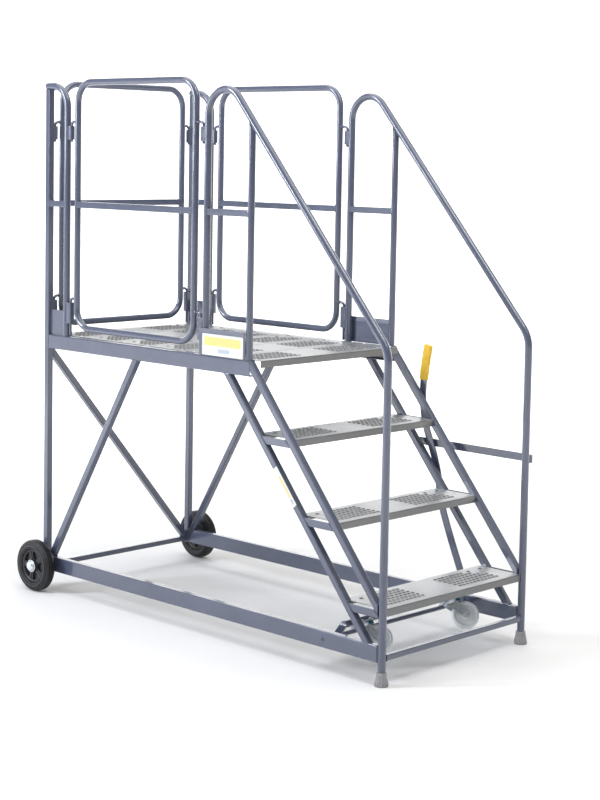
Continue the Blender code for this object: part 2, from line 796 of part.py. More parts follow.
def build_fork(side, swivel, wheel_z):
    """Build a castor's swivel head, fork legs and axle bolt."""
    inner = CASTOR_WIDE / 2 + 0.0015
    outer = inner + 0.0025
    crown_low = -0.016
    head = [
        (0, 0.0),
        (0.024, 0.0),
        (0.026, -0.008),
        (0.022, -0.0125),
        (0, -0.0125),
    ]
    fork = as_part(turned(f"castor_fork_{side}", head, 24, False), ZINC, swivel)
    crown = box(f"fork_crown_{side}", (-0.020, -outer, crown_low), (0.024, outer, -0.012))
    combine(fork, as_cutter(crown, swivel), "UNION")
    for label, sign in SIDES:
        ends = sorted((sign * inner, sign * outer))
        leg_shape = [
            (-0.020, crown_low + 0.002),
            (CASTOR_TRAIL - 0.014, wheel_z - 0.006),
            (CASTOR_TRAIL - 0.007, wheel_z - 0.014),
            (CASTOR_TRAIL + 0.007, wheel_z - 0.014),
            (CASTOR_TRAIL + 0.014, wheel_z - 0.006),
            (0.024, crown_low + 0.002),
        ]
        leg = plate(f"fork_leg_{side}_{label}", leg_shape, ends[0], ends[1], "Y")
        combine(fork, as_cutter(leg, swivel), "UNION")
    start = (CASTOR_TRAIL, -outer - 0.005, wheel_z)
    end = (CASTOR_TRAIL, outer + 0.005, wheel_z)
    combine(fork, as_cutter(cylinder(f"castor_bolt_{side}", 0.006, start, end), swivel), "UNION")


def build_lever(axis):
    """Build the far-side lever, its grip, and the guide strip on the frame."""
    path = lever_path()
    low = LEVER_Y - LEVER_THICK / 2
    high = LEVER_Y + LEVER_THICK / 2
    lever = plate("lift_lever", strip_outline(path, LEVER_WIDE), low, high, "Y")
    as_part(lever, PAINT, axis)
    upper = path[-4:]
    tip = upper[-1] + (upper[-1] - upper[-2]).normalized() * 0.008
    sleeve = strip_outline(upper[1:] + [tip], LEVER_WIDE + 0.010)
    grip = plate("lever_grip", sleeve, low - 0.004, high + 0.004, "Y")
    as_part(grip, YELLOW_PLASTIC, axis)
    pocket_path = [upper[1] + (upper[0] - upper[1]) * 0.5] + upper[1:]
    pocket = strip_outline(pocket_path, LEVER_WIDE + 2 * GAP)
    end = (pocket_path[-1] - pocket_path[-2]).normalized() * GAP
    middle = len(pocket) // 2
    pocket[middle - 1] = pocket[middle - 1] + end
    pocket[middle] = pocket[middle] + end
    room = plate("grip_pocket", pocket, low - GAP, high + GAP, "Y")
    combine(grip, as_cutter(room, axis), "DIFFERENCE")
    build_guide()


def lever_path():
    """Return the lever's centre line in (x, z) about the lifted frame's axis."""
    standing = [
        (PIVOT_X + 0.008, PIVOT_Z - 0.018),
        (1.384, 0.410),
        (1.350, 0.560),
        (1.322, 0.645),
        (1.293, 0.715),
        (1.277, 0.775),
        (1.270, 0.835),
        (1.272, 0.900),
        (1.279, 0.960),
        (1.290, 1.025),
    ]
    cos = math.cos(LIFT_ANGLE)
    sin = math.sin(LIFT_ANGLE)
    path = []
    for x, z in standing:
        along = x - PIVOT_X
        height = z - PIVOT_Z
        path.append(Vector((along * cos + height * sin, -along * sin + height * cos)))
    return path


def build_guide():
    """Build the strip that the lever runs in, from rear stringer to front leg."""
    face = SIDE_Y + POST / 2 + GAP + GUIDE_SHEET / 2
    run = LEVER_Y + LEVER_THICK / 2 + 0.008
    rear = 1.244
    front = GUIDE_FRONT_X - GUIDE_SHEET / 2
    corners = [
        (stringer_x(REAR_STRINGER, GUIDE_Z) + 0.014, face, 0),
        (rear, face, 0),
        (rear, run, 0),
        (front, run, 0),
        (front, face + 0.0015, 0),
        (FRONT_LEG_X - 0.004, face + 0.0015, 0),
    ]
    bend = (run - face) * 0.45
    path = [place.to_2d() for place in rounded(corners, bend, 4)]
    half = GUIDE_DEEP / 2
    outline = strip_outline(path, GUIDE_SHEET)
    as_part(plate("lever_guide", outline, GUIDE_Z - half, GUIDE_Z + half), PAINT)


def shade_round_parts():
    """Shade the curved pieces smooth, with sharp edges kept."""
    for obj in PARTS.objects:
        if obj.type == "MESH":
            obj.data.shade_smooth()
            obj.data.set_sharp_from_angle(angle=math.radians(35))


def build_stand():
    """Build every piece of the stand."""
    build_base()
    build_platform()
    build_stair()
    for side, sign in SIDES:
        build_handrail(side, sign)
        build_corner(side, sign)
        build_rear_wheel(side, sign)
        build_foot(side, sign)
    build_gates()
    build_castor_lift()
    shade_round_parts()


build_stand()
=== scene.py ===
"""Mobile ladder stand: the looks of its frame, gates, treads, wheels and lifting castors.

Metres, +Z up. X runs from the rear wheels to the foot of the steps, and Y across the
width, with the near side negative.
"""

from __future__ import annotations

import json
import logging
import math
from collections.abc import Callable, Sequence
from dataclasses import dataclass, field
from enum import Enum

import bmesh
import bpy
from mathutils import Matrix, Vector

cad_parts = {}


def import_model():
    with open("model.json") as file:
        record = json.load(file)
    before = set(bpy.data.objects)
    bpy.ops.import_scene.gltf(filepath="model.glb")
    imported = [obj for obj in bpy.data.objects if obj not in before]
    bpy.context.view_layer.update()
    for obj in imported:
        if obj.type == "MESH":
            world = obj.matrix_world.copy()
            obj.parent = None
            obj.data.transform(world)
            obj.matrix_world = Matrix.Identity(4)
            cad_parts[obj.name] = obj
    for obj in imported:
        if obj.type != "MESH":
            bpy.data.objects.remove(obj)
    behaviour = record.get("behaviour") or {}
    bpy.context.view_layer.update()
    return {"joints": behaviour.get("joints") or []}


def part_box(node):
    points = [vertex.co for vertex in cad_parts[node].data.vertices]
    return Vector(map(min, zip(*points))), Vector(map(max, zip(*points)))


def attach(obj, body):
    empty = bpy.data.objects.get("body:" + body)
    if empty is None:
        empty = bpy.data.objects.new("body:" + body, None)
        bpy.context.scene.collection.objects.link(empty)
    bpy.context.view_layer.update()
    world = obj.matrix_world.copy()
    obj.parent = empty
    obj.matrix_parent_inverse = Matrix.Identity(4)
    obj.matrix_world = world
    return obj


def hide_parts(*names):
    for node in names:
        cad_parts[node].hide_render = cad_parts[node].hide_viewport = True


LOG = logging.getLogger("ladder_stand")

Material = bpy.types.Material
Vert = bmesh.types.BMVert
Face = bmesh.types.BMFace
Colour = tuple[float, float, float]
Flat = tuple[float, float]
Plane = tuple[Vector, Vector]
Ends = tuple[Plane | None, Plane | None]

X_AXIS = Vector((1, 0, 0))
Y_AXIS = Vector((0, 1, 0))
Z_AXIS = Vector((0, 0, 1))


class Side(Enum):
    """The two long sides of the stand; the value is the sign of Y there."""

    NEAR = -1
    FAR = 1

    @property
    def label(self) -> str:
        """Return the side's word in node and piece names."""
        return self.name.lower()

    def of(self, name: str) -> str:
        """Return the name of this side's node, body or piece."""
        return f"{name}_{self.label}"


class Finish(Enum):
    """The finishes of the stand; the value is the record's material slot."""

    ENAMEL = "paint"
    GALVANISED = "galvanised"
    RUBBER = "tyre_rubber"
    HUB = "hub_plastic"
    ZINC = "zinc"
    NYLON = "nylon"
    FERRULE = "foot_plastic"
    GRIP = "grip_plastic"


# ---- shader maths
class Value:
    """A shader socket that takes part in Python expressions."""

    def __init__(self, bench: Bench, socket: bpy.types.NodeSocket) -> None:
        """Wrap one output socket of a material's nodes."""
        self.bench = bench
        self.socket = socket

    def _maths(self, operation: str, first: Value | float, second: Value | float) -> Value:
        """Return a Math node's result."""
        return self.bench.add("ShaderNodeMath", {"operation": operation}, {0: first, 1: second})

    def __add__(self, other: Value | float) -> Value:
        """Return self + other."""
        return self._maths("ADD", self, other)

    def __radd__(self, other: float) -> Value:
        """Return other + self."""
        return self._maths("ADD", other, self)

    def __sub__(self, other: Value | float) -> Value:
        """Return self - other."""
        return self._maths("SUBTRACT", self, other)

    def __rsub__(self, other: float) -> Value:
        """Return other - self."""
        return self._maths("SUBTRACT", other, self)

    def __mul__(self, other: Value | float) -> Value:
        """Return self * other."""
        return self._maths("MULTIPLY", self, other)

    def __rmul__(self, other: float) -> Value:
        """Return other * self."""
        return self._maths("MULTIPLY", other, self)

    def between(self, low: float, high: float) -> Value:
        """Return 0 at low and below, 1 at high and above, smooth in between.

        Args:
            low: Where the result is 0.
            high: Where it is 1.

        Returns:
            The smooth step.
        """
        settings = {"interpolation_type": "SMOOTHSTEP"}
        inputs = {"Value": self, "From Min": low, "From Max": high}
        return self.bench.add("ShaderNodeMapRange", settings, inputs)


class Bench:
    """Builds the nodes of one material round its Principled shader."""

    def __init__(self, name: str) -> None:
        """Start a material with an empty bench and a Principled shader.

        Args:
            name: The material's name.
        """
        self.material = bpy.data.materials.new(name)
        self.material.use_nodes = True
        self.tree = self.material.node_tree
        self.shader = self.tree.nodes["Principled BSDF"]

    def add(
        self, kind: str, settings: dict[str, object],
        inputs: dict[str | int, Value | float | Sequence[float]], output: str | int = 0
    ) -> Value:
        """Add a node.

        Args:
            kind: The node's type.
            settings: The node's own properties, which are set first.
            inputs: Values or links for its sockets.
            output: The output that is wanted.

        Returns:
            The chosen output as a value.
        """
        node = self.tree.nodes.new(kind)
        for key, setting in settings.items():
            setattr(node, key, setting)
        for key, given in inputs.items():
            self._feed(node.inputs[key], given)
        return Value(self, node.outputs[output])

    def _feed(self, socket: bpy.types.NodeSocket, given: Value | float | Sequence[float]) -> None:
        """Link a value to a socket, or set the socket to a constant.

        Args:
            socket: The socket to feed.
            given: A value to link, or a constant.
        """
        if isinstance(given, Value):
            self.tree.links.new(given.socket, socket)
        else:
            socket.default_value = given

    def dress(self, **inputs: Value | float | Sequence[float]) -> Material:
        """Feed the shader's sockets.

        Args:
            **inputs: Values by socket name, with underscores for spaces.

        Returns:
            The finished material.
        """
        for key, given in inputs.items():
            self._feed(self.shader.inputs[key.replace("_", " ")], given)
        return self.material

    def place(self, stretch: Sequence[float] = (1, 1, 1)) -> Value:
        """Return the point on the object, in metres, with each axis stretched.

        Args:
            stretch: The factor on each axis.

        Returns:
            The point as a vector.
        """
        point = self.add("ShaderNodeTexCoord", {}, {}, "Object")
        if tuple(stretch) == (1, 1, 1):
            return point
        return self.add(
            "ShaderNodeVectorMath", {"operation": "MULTIPLY"}, {0: point, 1: tuple(stretch)}
        )

    def noise(self, scale: float, detail: float = 2, stretch: Sequence[float] = (1, 1, 1)) -> Value:
        """Return cloudy noise between 0 and 1, scale waves to the metre."""
        inputs = {"Vector": self.place(stretch), "Scale": scale, "Detail": detail}
        return self.add("ShaderNodeTexNoise", {}, inputs, "Fac")

    def cells(self, scale: float) -> Value:
        """Return Voronoi cells, each with its own grey.

        Args:
            scale: Cells to the metre.

        Returns:
            The grey of the cell.
        """
        inputs = {"Vector": self.place(), "Scale": scale}
        colour = self.add("ShaderNodeTexVoronoi", {}, inputs, "Color")
        return self.add("ShaderNodeSeparateColor", {}, {"Color": colour}, 0)

    def mix(self, share: Value | float, first: Value | Colour, second: Value | Colour) -> Value:
        """Return first where share is 0 and second where it is 1."""
        inputs = {0: share, 6: self._colour(first), 7: self._colour(second)}
        return self.add("ShaderNodeMix", {"data_type": "RGBA"}, inputs, 2)

    @staticmethod
    def _colour(given: Value | Colour) -> Value | tuple[float, ...]:
        """Return a colour with its alpha, or the value unchanged."""
        return given if isinstance(given, Value) else (*given, 1.0)

    def facing_up(self) -> Value:
        """Return 1 on surfaces that face straight up, 0 on upright ones."""
        normal = self.add("ShaderNodeNewGeometry", {}, {}, "Normal")
        return self.add("ShaderNodeSeparateXYZ", {}, {"Vector": normal}, 2)

    def height(self) -> Value:
        """Return the height above the floor in metres."""
        return self.add("ShaderNodeSeparateXYZ", {}, {"Vector": self.place()}, 2)

    def bump(self, relief: Value, depth: float) -> Value:
        """Return a normal that follows a relief whose full height is depth metres."""
        inputs = {"Height": relief, "Distance": depth, "Strength": 1.0}
        return self.add("ShaderNodeBump", {}, inputs)


# ---- finishes
@dataclass(frozen=True)
class Enamel:
    """Stoved blue-grey enamel: orange peel, faint mottling, dust and fine scuffs."""

    deep: Colour = (0.072, 0.085, 0.134)
    light: Colour = (0.086, 0.101, 0.157)
    dust: Colour = (0.3, 0.3, 0.31)
    scuff: Colour = (0.24, 0.26, 0.3)
    gloss: float = 0.24

    def build(self) -> Material:
        """Return the material.

        Returns:
            The finished material.
        """
        bench = Bench("blue_grey_enamel")
        mottle = 0.7 * bench.noise(7, 3) + 0.3 * bench.noise(55, 3)
        tone = bench.mix(mottle.between(0.25, 0.75), self.deep, self.light)
        dusty = bench.facing_up().between(0.55, 1.0) * bench.noise(24, 3).between(0.2, 0.85)
        scratches = bench.noise(260, 2, (1, 1, 0.06)).between(0.7, 0.74)
        worn = scratches * bench.noise(9, 2).between(0.52, 0.66)
        tone = bench.mix(worn * 0.12, tone, self.scuff)
        tone = bench.mix(dusty * 0.12, tone, self.dust)
        roughness = self.gloss + 0.04 * bench.noise(38, 3) + 0.08 * dusty + 0.05 * worn
        peel = bench.noise(520, 2) + 0.2 * bench.noise(95, 2)
        return bench.dress(
            Base_Color=tone, Roughness=roughness, Coat_Weight=0.85, Coat_Roughness=0.07, Coat_IOR=1.55,
            Normal=bench.bump(peel, 0.00004)
        )


@dataclass(frozen=True)
class Galvanised:
    """Hot-dip galvanised sheet: zinc spangle, soft grain, a little white bloom, and painted shade that
    darkens its upright faces.
    """

    dull: Colour = (0.36, 0.37, 0.38)
    bright: Colour = (0.46, 0.47, 0.48)
    bloom: Colour = (0.5, 0.51, 0.52)
    unworn: Colour = (0.15, 0.15, 0.15)

    def build(self) -> Material:
        """Return the material.

        Returns:
            The finished material.
        """
        bench = Bench("galvanised_sheet")
        spangle = 0.6 * bench.cells(95) + 0.4 * bench.cells(210)
        tone = bench.mix(spangle, self.dull, self.bright)
        bloom = bench.noise(16, 5).between(0.46, 0.78)
        tone = bench.mix(bloom * 0.4, tone, self.bloom)
        # Painted shade: every face that does not face straight up is darkened, by up to 80%, towards a
        # near-black grey.
        faces_up = bench.facing_up().between(0.72, 0.97)
        tone = bench.mix(0.8 * (1 - faces_up), tone, self.unworn)
        rub = bench.noise(330, 2, (0.08, 1, 1)).between(0.62, 0.8)
        roughness = 0.3 + 0.12 * spangle + 0.14 * bloom - 0.08 * rub
        relief = 0.6 * spangle + 0.4 * bench.noise(640, 2) + 0.5 * bench.noise(42, 2)
        return bench.dress(
            Base_Color=tone, Metallic=0.8 - 0.3 * bloom, Roughness=roughness,
            Normal=bench.bump(relief, 0.00012)
        )


@dataclass(frozen=True)
class GrimyEdge:
    """The wall inside a punched hole, painted near-black as shade."""

    dark: Colour = (0.03, 0.03, 0.033)
    grey: Colour = (0.075, 0.075, 0.08)

    def build(self) -> Material:
        """Return the material, which every tray shares.

        Returns:
            The finished material.
        """
        name = "punched_edge"
        if name in bpy.data.materials:
            return bpy.data.materials[name]
        bench = Bench(name)
        # Painted shade inside the holes, mottled by noise between two near-blacks.
        shade_mottle = bench.noise(420, 4)
        return bench.dress(
            Base_Color=bench.mix(shade_mottle.between(0.35, 0.7), self.dark, self.grey),
            Roughness=0.55 + 0.3 * shade_mottle, Metallic=0.35, Normal=bench.bump(shade_mottle, 0.0001)
        )


@dataclass(frozen=True)
class TyreRubber:
    """Solid rubber tyre: charcoal, matt, greyer where it has picked up dust."""

    black: Colour = (0.013, 0.013, 0.016)
    grey: Colour = (0.034, 0.034, 0.04)

    def build(self) -> Material:
        """Return the material.

        Returns:
            The finished material.
        """
        bench = Bench("tyre_rubber")
        dusty = 0.5 * bench.noise(42, 5) + 0.5 * bench.noise(8, 2)
        tone = bench.mix(dusty.between(0.36, 0.72), self.black, self.grey)
        relief = bench.noise(900, 3) + 0.5 * bench.noise(160, 2)
        return bench.dress(
            Base_Color=tone, Roughness=0.34 + 0.26 * dusty, Normal=bench.bump(relief, 0.00016)
        )


@dataclass(frozen=True)
class Moulding:
    """Moulded plastic: fine spark-eroded grain, flow mottling and dirt near the floor."""

    name: str
    deep: Colour
    light: Colour
    dirt: Colour = (0.16, 0.15, 0.14)
    gloss: float = 0.38
    dirt_top: float = 0.03
    grain: float = 1300
    soft: float = 0.0

    def build(self) -> Material:
        """Return the material.

        Returns:
            The finished material.
        """
        bench = Bench(self.name)
        flow = 0.6 * bench.noise(34, 4) + 0.4 * bench.noise(170, 2)
        tone = bench.mix(flow.between(0.32, 0.7), self.deep, self.light)
        low_down = 1 - bench.height().between(0.0, self.dirt_top)
        dirty = low_down * bench.noise(120, 4).between(0.36, 0.66)
        marks = bench.noise(240, 3).between(0.66, 0.74) * 0.35
        tone = bench.mix(dirty * 0.6 + marks * 0.35, tone, self.dirt)
        relief = bench.noise(self.grain, 2) + 0.4 * bench.noise(210, 2)
        return bench.dress(
            Base_Color=tone, Roughness=self.gloss + 0.16 * flow + 0.25 * dirty,
            Subsurface_Weight=self.soft, Subsurface_Scale=0.004, Normal=bench.bump(relief, 0.0001)
        )


@dataclass(frozen=True)
class ZincPlate:
    """Bright zinc plating: cool, finely brushed, with a faint straw bloom."""

    cool: Colour = (0.76, 0.83, 0.91)
    straw: Colour = (0.84, 0.84, 0.8)

    def build(self) -> Material:
        """Return the material.

        Returns:
            The finished material.
        """
        bench = Bench("bright_zinc")
        bloom = bench.noise(48, 4)
        tone = bench.mix(bloom.between(0.42, 0.74), self.cool, self.straw)
        brushed = bench.noise(700, 2, (1, 1, 0.15))
        stain = bench.noise(130, 5).between(0.6, 0.8)
        tone = bench.mix(stain * 0.35, tone, (0.36, 0.37, 0.38))
        return bench.dress(
            Base_Color=tone, Metallic=0.8 - 0.25 * stain, Roughness=0.22 + 0.14 * brushed + 0.2 * stain,
            Normal=bench.bump(brushed, 0.00006)
        )


@dataclass(frozen=True)
class PlainLabel:
    """Printed vinyl with a plain border and one plain band, and no lettering."""

    name: str
    middle: Vector
    along: Vector
    half: float
    up: Vector
    rise: float
    ground: Colour = (0.74, 0.74, 0.72)
    aged: Colour = (0.66, 0.65, 0.6)
    band: Colour = (0.82, 0.6, 0.12)
    chip: Colour = (0.3, 0.38, 0.52)
    margin: float = 0.1
    band_span: Flat = (-0.1, 0.74)
    chip_span: Flat = (-0.72, -0.34)
    chip_reach: Flat = (-0.2, 0.35)

    def _reach(self, bench: Bench, direction: Vector) -> Value:
        """Return the distance from the label's middle along a direction.

        Args:
            bench: The material's bench.
            direction: The direction to measure in.

        Returns:
            The distance in metres.
        """
        offset = bench.add(
            "ShaderNodeVectorMath", {"operation": "SUBTRACT"}, {0: bench.place(), 1: tuple(self.middle)}
        )
        inputs = {0: offset, 1: tuple(direction)}
        return bench.add("ShaderNodeVectorMath", {"operation": "DOT_PRODUCT"}, inputs, "Value")

    def _inside(self, bench: Bench, reach: Value, low: float, high: float) -> Value:
        """Return 1 between two distances, with a crisp edge."""
        crisp = 0.0003
        return reach.between(low, low + crisp) * (1 - reach.between(high - crisp, high))

    def build(self) -> Material:
        """Return the material.

        Returns:
            The finished material.
        """
        bench = Bench(self.name)
        along = self._reach(bench, self.along)
        up = self._reach(bench, self.up)
        inset = self.half * (1 - self.margin)
        low, high = (edge * self.rise for edge in self.band_span)
        band = self._inside(bench, along, -inset, inset) * self._inside(bench, up, low, high)
        left, right = (edge * self.half for edge in self.chip_reach)
        low, high = (edge * self.rise for edge in self.chip_span)
        chip = self._inside(bench, along, left, right) * self._inside(bench, up, low, high)
        faded = bench.noise(60, 4)
        tone = bench.mix(faded * 0.5, self.ground, self.aged)
        tone = bench.mix(band * (0.95 - 0.2 * faded), tone, self.band)
        tone = bench.mix(chip * (0.85 - 0.3 * faded), tone, self.chip)
        return bench.dress(
            Base_Color=tone, Roughness=0.28 + 0.18 * faded,
            Normal=bench.bump(bench.noise(300, 2), 0.00005)
        )


@dataclass(frozen=True)
class StudioFloor:
    """Pale studio floor, very slightly cloudy, that brightens away from the object."""

    pale: Colour = (0.78, 0.78, 0.78)
    paler: Colour = (0.82, 0.82, 0.82)
    glow: float = 0.9
    glow_from: float = 1.4
    glow_to: float = 5.5

    def build(self) -> Material:
        """Return the material.

        Returns:
            The finished material.
        """
        bench = Bench("studio_floor")
        cloud = bench.noise(1.3, 3)
        reach = bench.add("ShaderNodeVectorMath", {"operation": "LENGTH"}, {0: bench.place()}, "Value")
        glow = reach.between(self.glow_from, self.glow_to)
        return bench.dress(
            Base_Color=bench.mix(cloud, self.pale, self.paler),
            Emission_Color=bench.mix(glow, (0.0, 0.0, 0.0), (1.0, 1.0, 1.0)),
            Emission_Strength=self.glow, Roughness=0.7 + 0.1 * cloud, Specular_IOR_Level=0.25
        )


# ---- paths and outlines
def rounded(
    corners: Sequence[Vector | Sequence[float]], radius: float | Sequence[float], steps: int = 10,
    closed: bool = False
) -> list[Vector]:
    """Round a path's corners.

    Args:
        corners: The path's corners, in 2D or 3D.
        radius: One bend radius, or one for each corner.
        steps: Segments in each bend.
        closed: Whether the path returns to its start.

    Returns:
        The points of the rounded path.
    """
    places = [Vector(corner) for corner in corners]
    bends = list(radius) if isinstance(radius, Sequence) else [radius] * len(places)
    path: list[Vector] = []
    for index, corner in enumerate(places):
        at_end = not closed and index in (0, len(places) - 1)
        if at_end or bends[index] <= 0:
            path.append(corner)
            continue
        back = (places[index - 1] - corner).normalized()
        ahead = (places[(index + 1) % len(places)] - corner).normalized()
        half = back.angle(ahead) / 2
        centre = corner + (back + ahead).normalized() * (bends[index] / math.sin(half))
        first = corner + back * (bends[index] / math.tan(half)) - centre
        last = corner + ahead * (bends[index] / math.tan(half)) - centre
        turn = first.angle(last)
        for step in range(steps + 1):
            share = step / steps
            arm = first * math.sin((1 - share) * turn) + last * math.sin(share * turn)
            path.append(centre + arm / math.sin(turn))
    return path


def smooth_path(places: Sequence[Vector], steps: int = 6) -> list[Vector]:
    """Return a Catmull-Rom curve through the places.

    Args:
        places: The places to pass through.
        steps: Segments between two places.

    Returns:
        The curve's points.
    """
    path: list[Vector] = []
    last = len(places) - 1
    for index in range(last):
        before = places[max(index - 1, 0)]
        start = places[index]
        end = places[index + 1]
        after = places[min(index + 2, last)]
        for step in range(steps):
            t = step / steps
            path.append(
                0.5
                * (
                    2 * start
                    + (end - before) * t
                    + (2 * before - 5 * start + 4 * end - after) * t**2
                    + (3 * start - before - 3 * end + after) * t**3
                )
            )
    path.append(places[last].copy())
    return path


def strip(path: Sequence[Vector], width: float | Sequence[float]) -> list[Vector]:
    """Return the closed outline of a strip along a flat path.

    Args:
        path: The strip's centre line, in 2D.
        width: One width, or one for each point.

    Returns:
        The outline, down one side and back up the other.
    """
    widths = list(width) if isinstance(width, Sequence) else [width] * len(path)
    left: list[Vector] = []
    right: list[Vector] = []
    for index, place in enumerate(path):
        back = path[max(index - 1, 0)]
        ahead = path[min(index + 1, len(path) - 1)]
        run = (ahead - back).normalized()
        side = Vector((-run.y, run.x)) * (widths[index] / 2)
        left.append(place + side)
        right.append(place - side)
    return left + right[::-1]


def circle(radius: float, sides: int) -> list[Flat]:
    """Return the points of a circle."""
    turns = [2 * math.pi * index / sides for index in range(sides)]
    return [(radius * math.cos(turn), radius * math.sin(turn)) for turn in turns]


def rectangle(wide: float, deep: float, corner: float, steps: int = 4) -> list[Flat]:
    """Return a rectangle's outline about its middle, with rounded corners.

    Args:
        wide: The full width.
        deep: The full depth.
        corner: The corners' radius.
        steps: Segments in each corner.

    Returns:
        The outline's points.
    """
    a = wide / 2
    b = deep / 2
    corners = [(-a, -b), (a, -b), (a, b), (-a, b)]
    return [tuple(place) for place in rounded(corners, corner, steps, closed=True)]


# ---- metalwork
class Shape:
    """Collects the closed shells of one piece."""

    ROUND = 32

    def __init__(self) -> None:
        """Start with an empty mesh and no second finish."""
        self.bm = bmesh.new()
        self.second: Material | None = None

    def skin(self, rings: Sequence[Sequence[Vector]], closed: bool = False) -> list[Face]:
        """Skin a row of rings and close its ends.

        Args:
            rings: Rings of points; a ring of one point is a tip.
            closed: Whether the last ring joins the first.

        Returns:
            The new faces.
        """
        rows = [[self.bm.verts.new(point) for point in ring] for ring in rings]
        pairs = list(zip(rows, rows[1:]))
        if closed:
            pairs.append((rows[-1], rows[0]))
        faces = []
        for first, second in pairs:
            faces += self.band(first, second)
        if not closed:
            for row in (rows[0][::-1], rows[-1]):
                if len(row) > 2:
                    faces.append(self.bm.faces.new(row))
        return faces

    def band(self, first: Sequence[Vert], second: Sequence[Vert]) -> list[Face]:
        """Join two rings, either of which may be a tip, with faces.

        Args:
            first: The first ring.
            second: The next ring.

        Returns:
            The new faces.
        """
        count = max(len(first), len(second))
        faces = []
        for index in range(count):
            after = (index + 1) % count
            if len(first) == 1:
                corners = [first[0], second[after], second[index]]
            elif len(second) == 1:
                corners = [first[index], first[after], second[0]]
            else:
                corners = [first[index], first[after], second[after], second[index]]
            faces.append(self.bm.faces.new(corners))
        return faces

    def sweep(
        self, section: Sequence[Flat], path: Sequence[Vector], up: Vector = Z_AXIS,
        closed: bool = False, ends: Ends = (None, None), swell: Callable[[int], float] | None = None
    ) -> None:
        """Sweep a section along a path.

        Args:
            section: The section's outline, as (across, upward).
            path: The centre line.
            up: A direction that the section's second axis starts near.
            closed: Whether the path is a loop.
            ends: A plane, as a point and a normal, that trims each end.
            swell: The section's scale at each point of the path.
        """
        rings = []
        count = len(path)
        upward = up
        for index, place in enumerate(path):
            back = path[index - 1] if closed or index else place
            ahead = path[(index + 1) % count] if closed or index < count - 1 else place
            run = (ahead - back).normalized()
            across = run.cross(upward)
            if across.length < 1e-4:
                across = run.cross(X_AXIS if abs(run.x) < 0.9 else Y_AXIS)
            across.normalize()
            upward = across.cross(run).normalized()
            size = swell(index) if swell else 1.0
            ring = [place + across * (a * size) + upward * (b * size) for a, b in section]
            if not closed and index in (0, count - 1):
                ring = self._trimmed(ring, run, ends[0 if index == 0 else 1])
            rings.append(ring)
        self.skin(rings, closed)

    @staticmethod
    def _trimmed(ring: list[Vector], run: Vector, plane: Plane | None) -> list[Vector]:
        """Slide a ring's points along the run until they lie on a plane.

        Args:
            ring: The section's points.
            run: The path's direction there.
            plane: The plane, if there is one.

        Returns:
            The points on the plane.
        """
        if plane is None:
            return ring
        point, normal = plane
        slope = run.dot(normal)
        return [place + run * ((point - place).dot(normal) / slope) for place in ring]

    def tube(
        self, path: Sequence[Vector], radius: float, closed: bool = False, ends: Ends = (None, None),
        sides: int = ROUND
    ) -> None:
        """Sweep a round tube along a path.

        Args:
            path: The centre line.
            radius: The tube's radius.
            closed: Whether the path is a loop.
            ends: A plane that trims each end.
            sides: Facets round the tube.
        """
        up = Z_AXIS
        if abs((path[1] - path[0]).normalized().z) > 0.7:
            up = X_AXIS
        self.sweep(circle(radius, sides), path, up, closed, ends)

    def bar(
        self, start: Vector, end: Vector, wide: float, deep: float, corner: float, up: Vector = Z_AXIS,
        ends: Ends = (None, None)
    ) -> None:
        """Add a straight box section with rounded corners, trimmed by end planes."""
        self.sweep(rectangle(wide, deep, corner), [start, end], up, ends=ends)

    def turned(
        self, profile: Sequence[Flat], centre: Vector, axis: Vector, steps: int = 48, ring: bool = False
    ) -> None:
        """Turn a profile about an axis.

        Args:
            profile: Points as (radius, height along the axis).
            centre: Where the height is 0.
            axis: The direction of the axis.
            steps: Segments in a full turn.
            ring: Whether the profile closes on itself, as for a tyre.
        """
        basis = frame_of(axis)
        rings = []
        for radius, height in profile:
            middle = centre + basis[2] * height
            if radius < 1e-7:
                rings.append([middle])
                continue
            spokes = circle(radius, steps)
            rings.append([middle + basis[0] * a + basis[1] * b for a, b in spokes])
        self.skin(rings, ring)

    def slab(
        self, outline: Sequence[Sequence[float]], origin: Vector, across: Vector, upward: Vector,
        thick: float, edge: float = 0.0006
    ) -> None:
        """Add a plate with softened edges.

        Args:
            outline: The plate's outline, as (across, upward).
            origin: Where the outline's own origin lies, in the plate's middle plane.
            across: The direction of the outline's first axis.
            upward: The direction of its second axis.
            thick: The plate's thickness.
            edge: How much the edges are softened.
        """
        normal = across.cross(upward).normalized()
        flat = [origin + across * place[0] + upward * place[1] for place in outline]
        rings = [[place + normal * (thick * side) for place in flat] for side in (-0.5, 0.5)]
        faces = self.skin(rings)
        if edge:
            sharp = set()
            for face in faces:
                for line in face.edges:
                    if line.calc_face_angle(0) > math.radians(32):
                        sharp.add(line)
            bmesh.ops.bevel(
                self.bm, geom=list(sharp), offset=edge, segments=2, profile=0.5, affect="EDGES"
            )

    def bead(self, path: Sequence[Vector], radius: float = 0.0021, closed: bool = False) -> None:
        """Add a weld bead with its ripples along a path.

        Args:
            path: The line of the joint.
            radius: The bead's radius.
            closed: Whether the line is a loop.
        """
        fine = spaced(path, radius * 0.9, closed)
        if len(fine) > 3:
            self.sweep(
                circle(radius, 8), fine, Vector((0.37, 0.21, 0.9)).normalized(), closed,
                swell=lambda index: 1.0 + 0.16 * math.sin(index * 2.1) + 0.05 * math.sin(index * 0.7)
            )

    def bolt(self, place: Vector, axis: Vector, across: float = 0.013, high: float = 0.0055) -> None:
        """Add a hexagon head on a washer, with its underside at place.

        Args:
            place: The middle of the washer's underside.
            axis: The direction that the head faces.
            across: Its size across flats.
            high: Its height with the washer.
        """
        reach = across / math.sqrt(3)
        washer = across * 0.78
        self.turned(
            [(0, 0), (washer, 0), (washer, 0.001), (washer - 0.0006, 0.0014), (0, 0.0014)], place, axis,
            28
        )
        self.turned(
            [
                (0, 0.0012), (reach, 0.0012), (reach, high * 0.86), (reach * 0.86, high),
                (reach * 0.5, high), (reach * 0.42, high - 0.0006), (0, high - 0.0006)
            ],
            place, axis, 6
        )

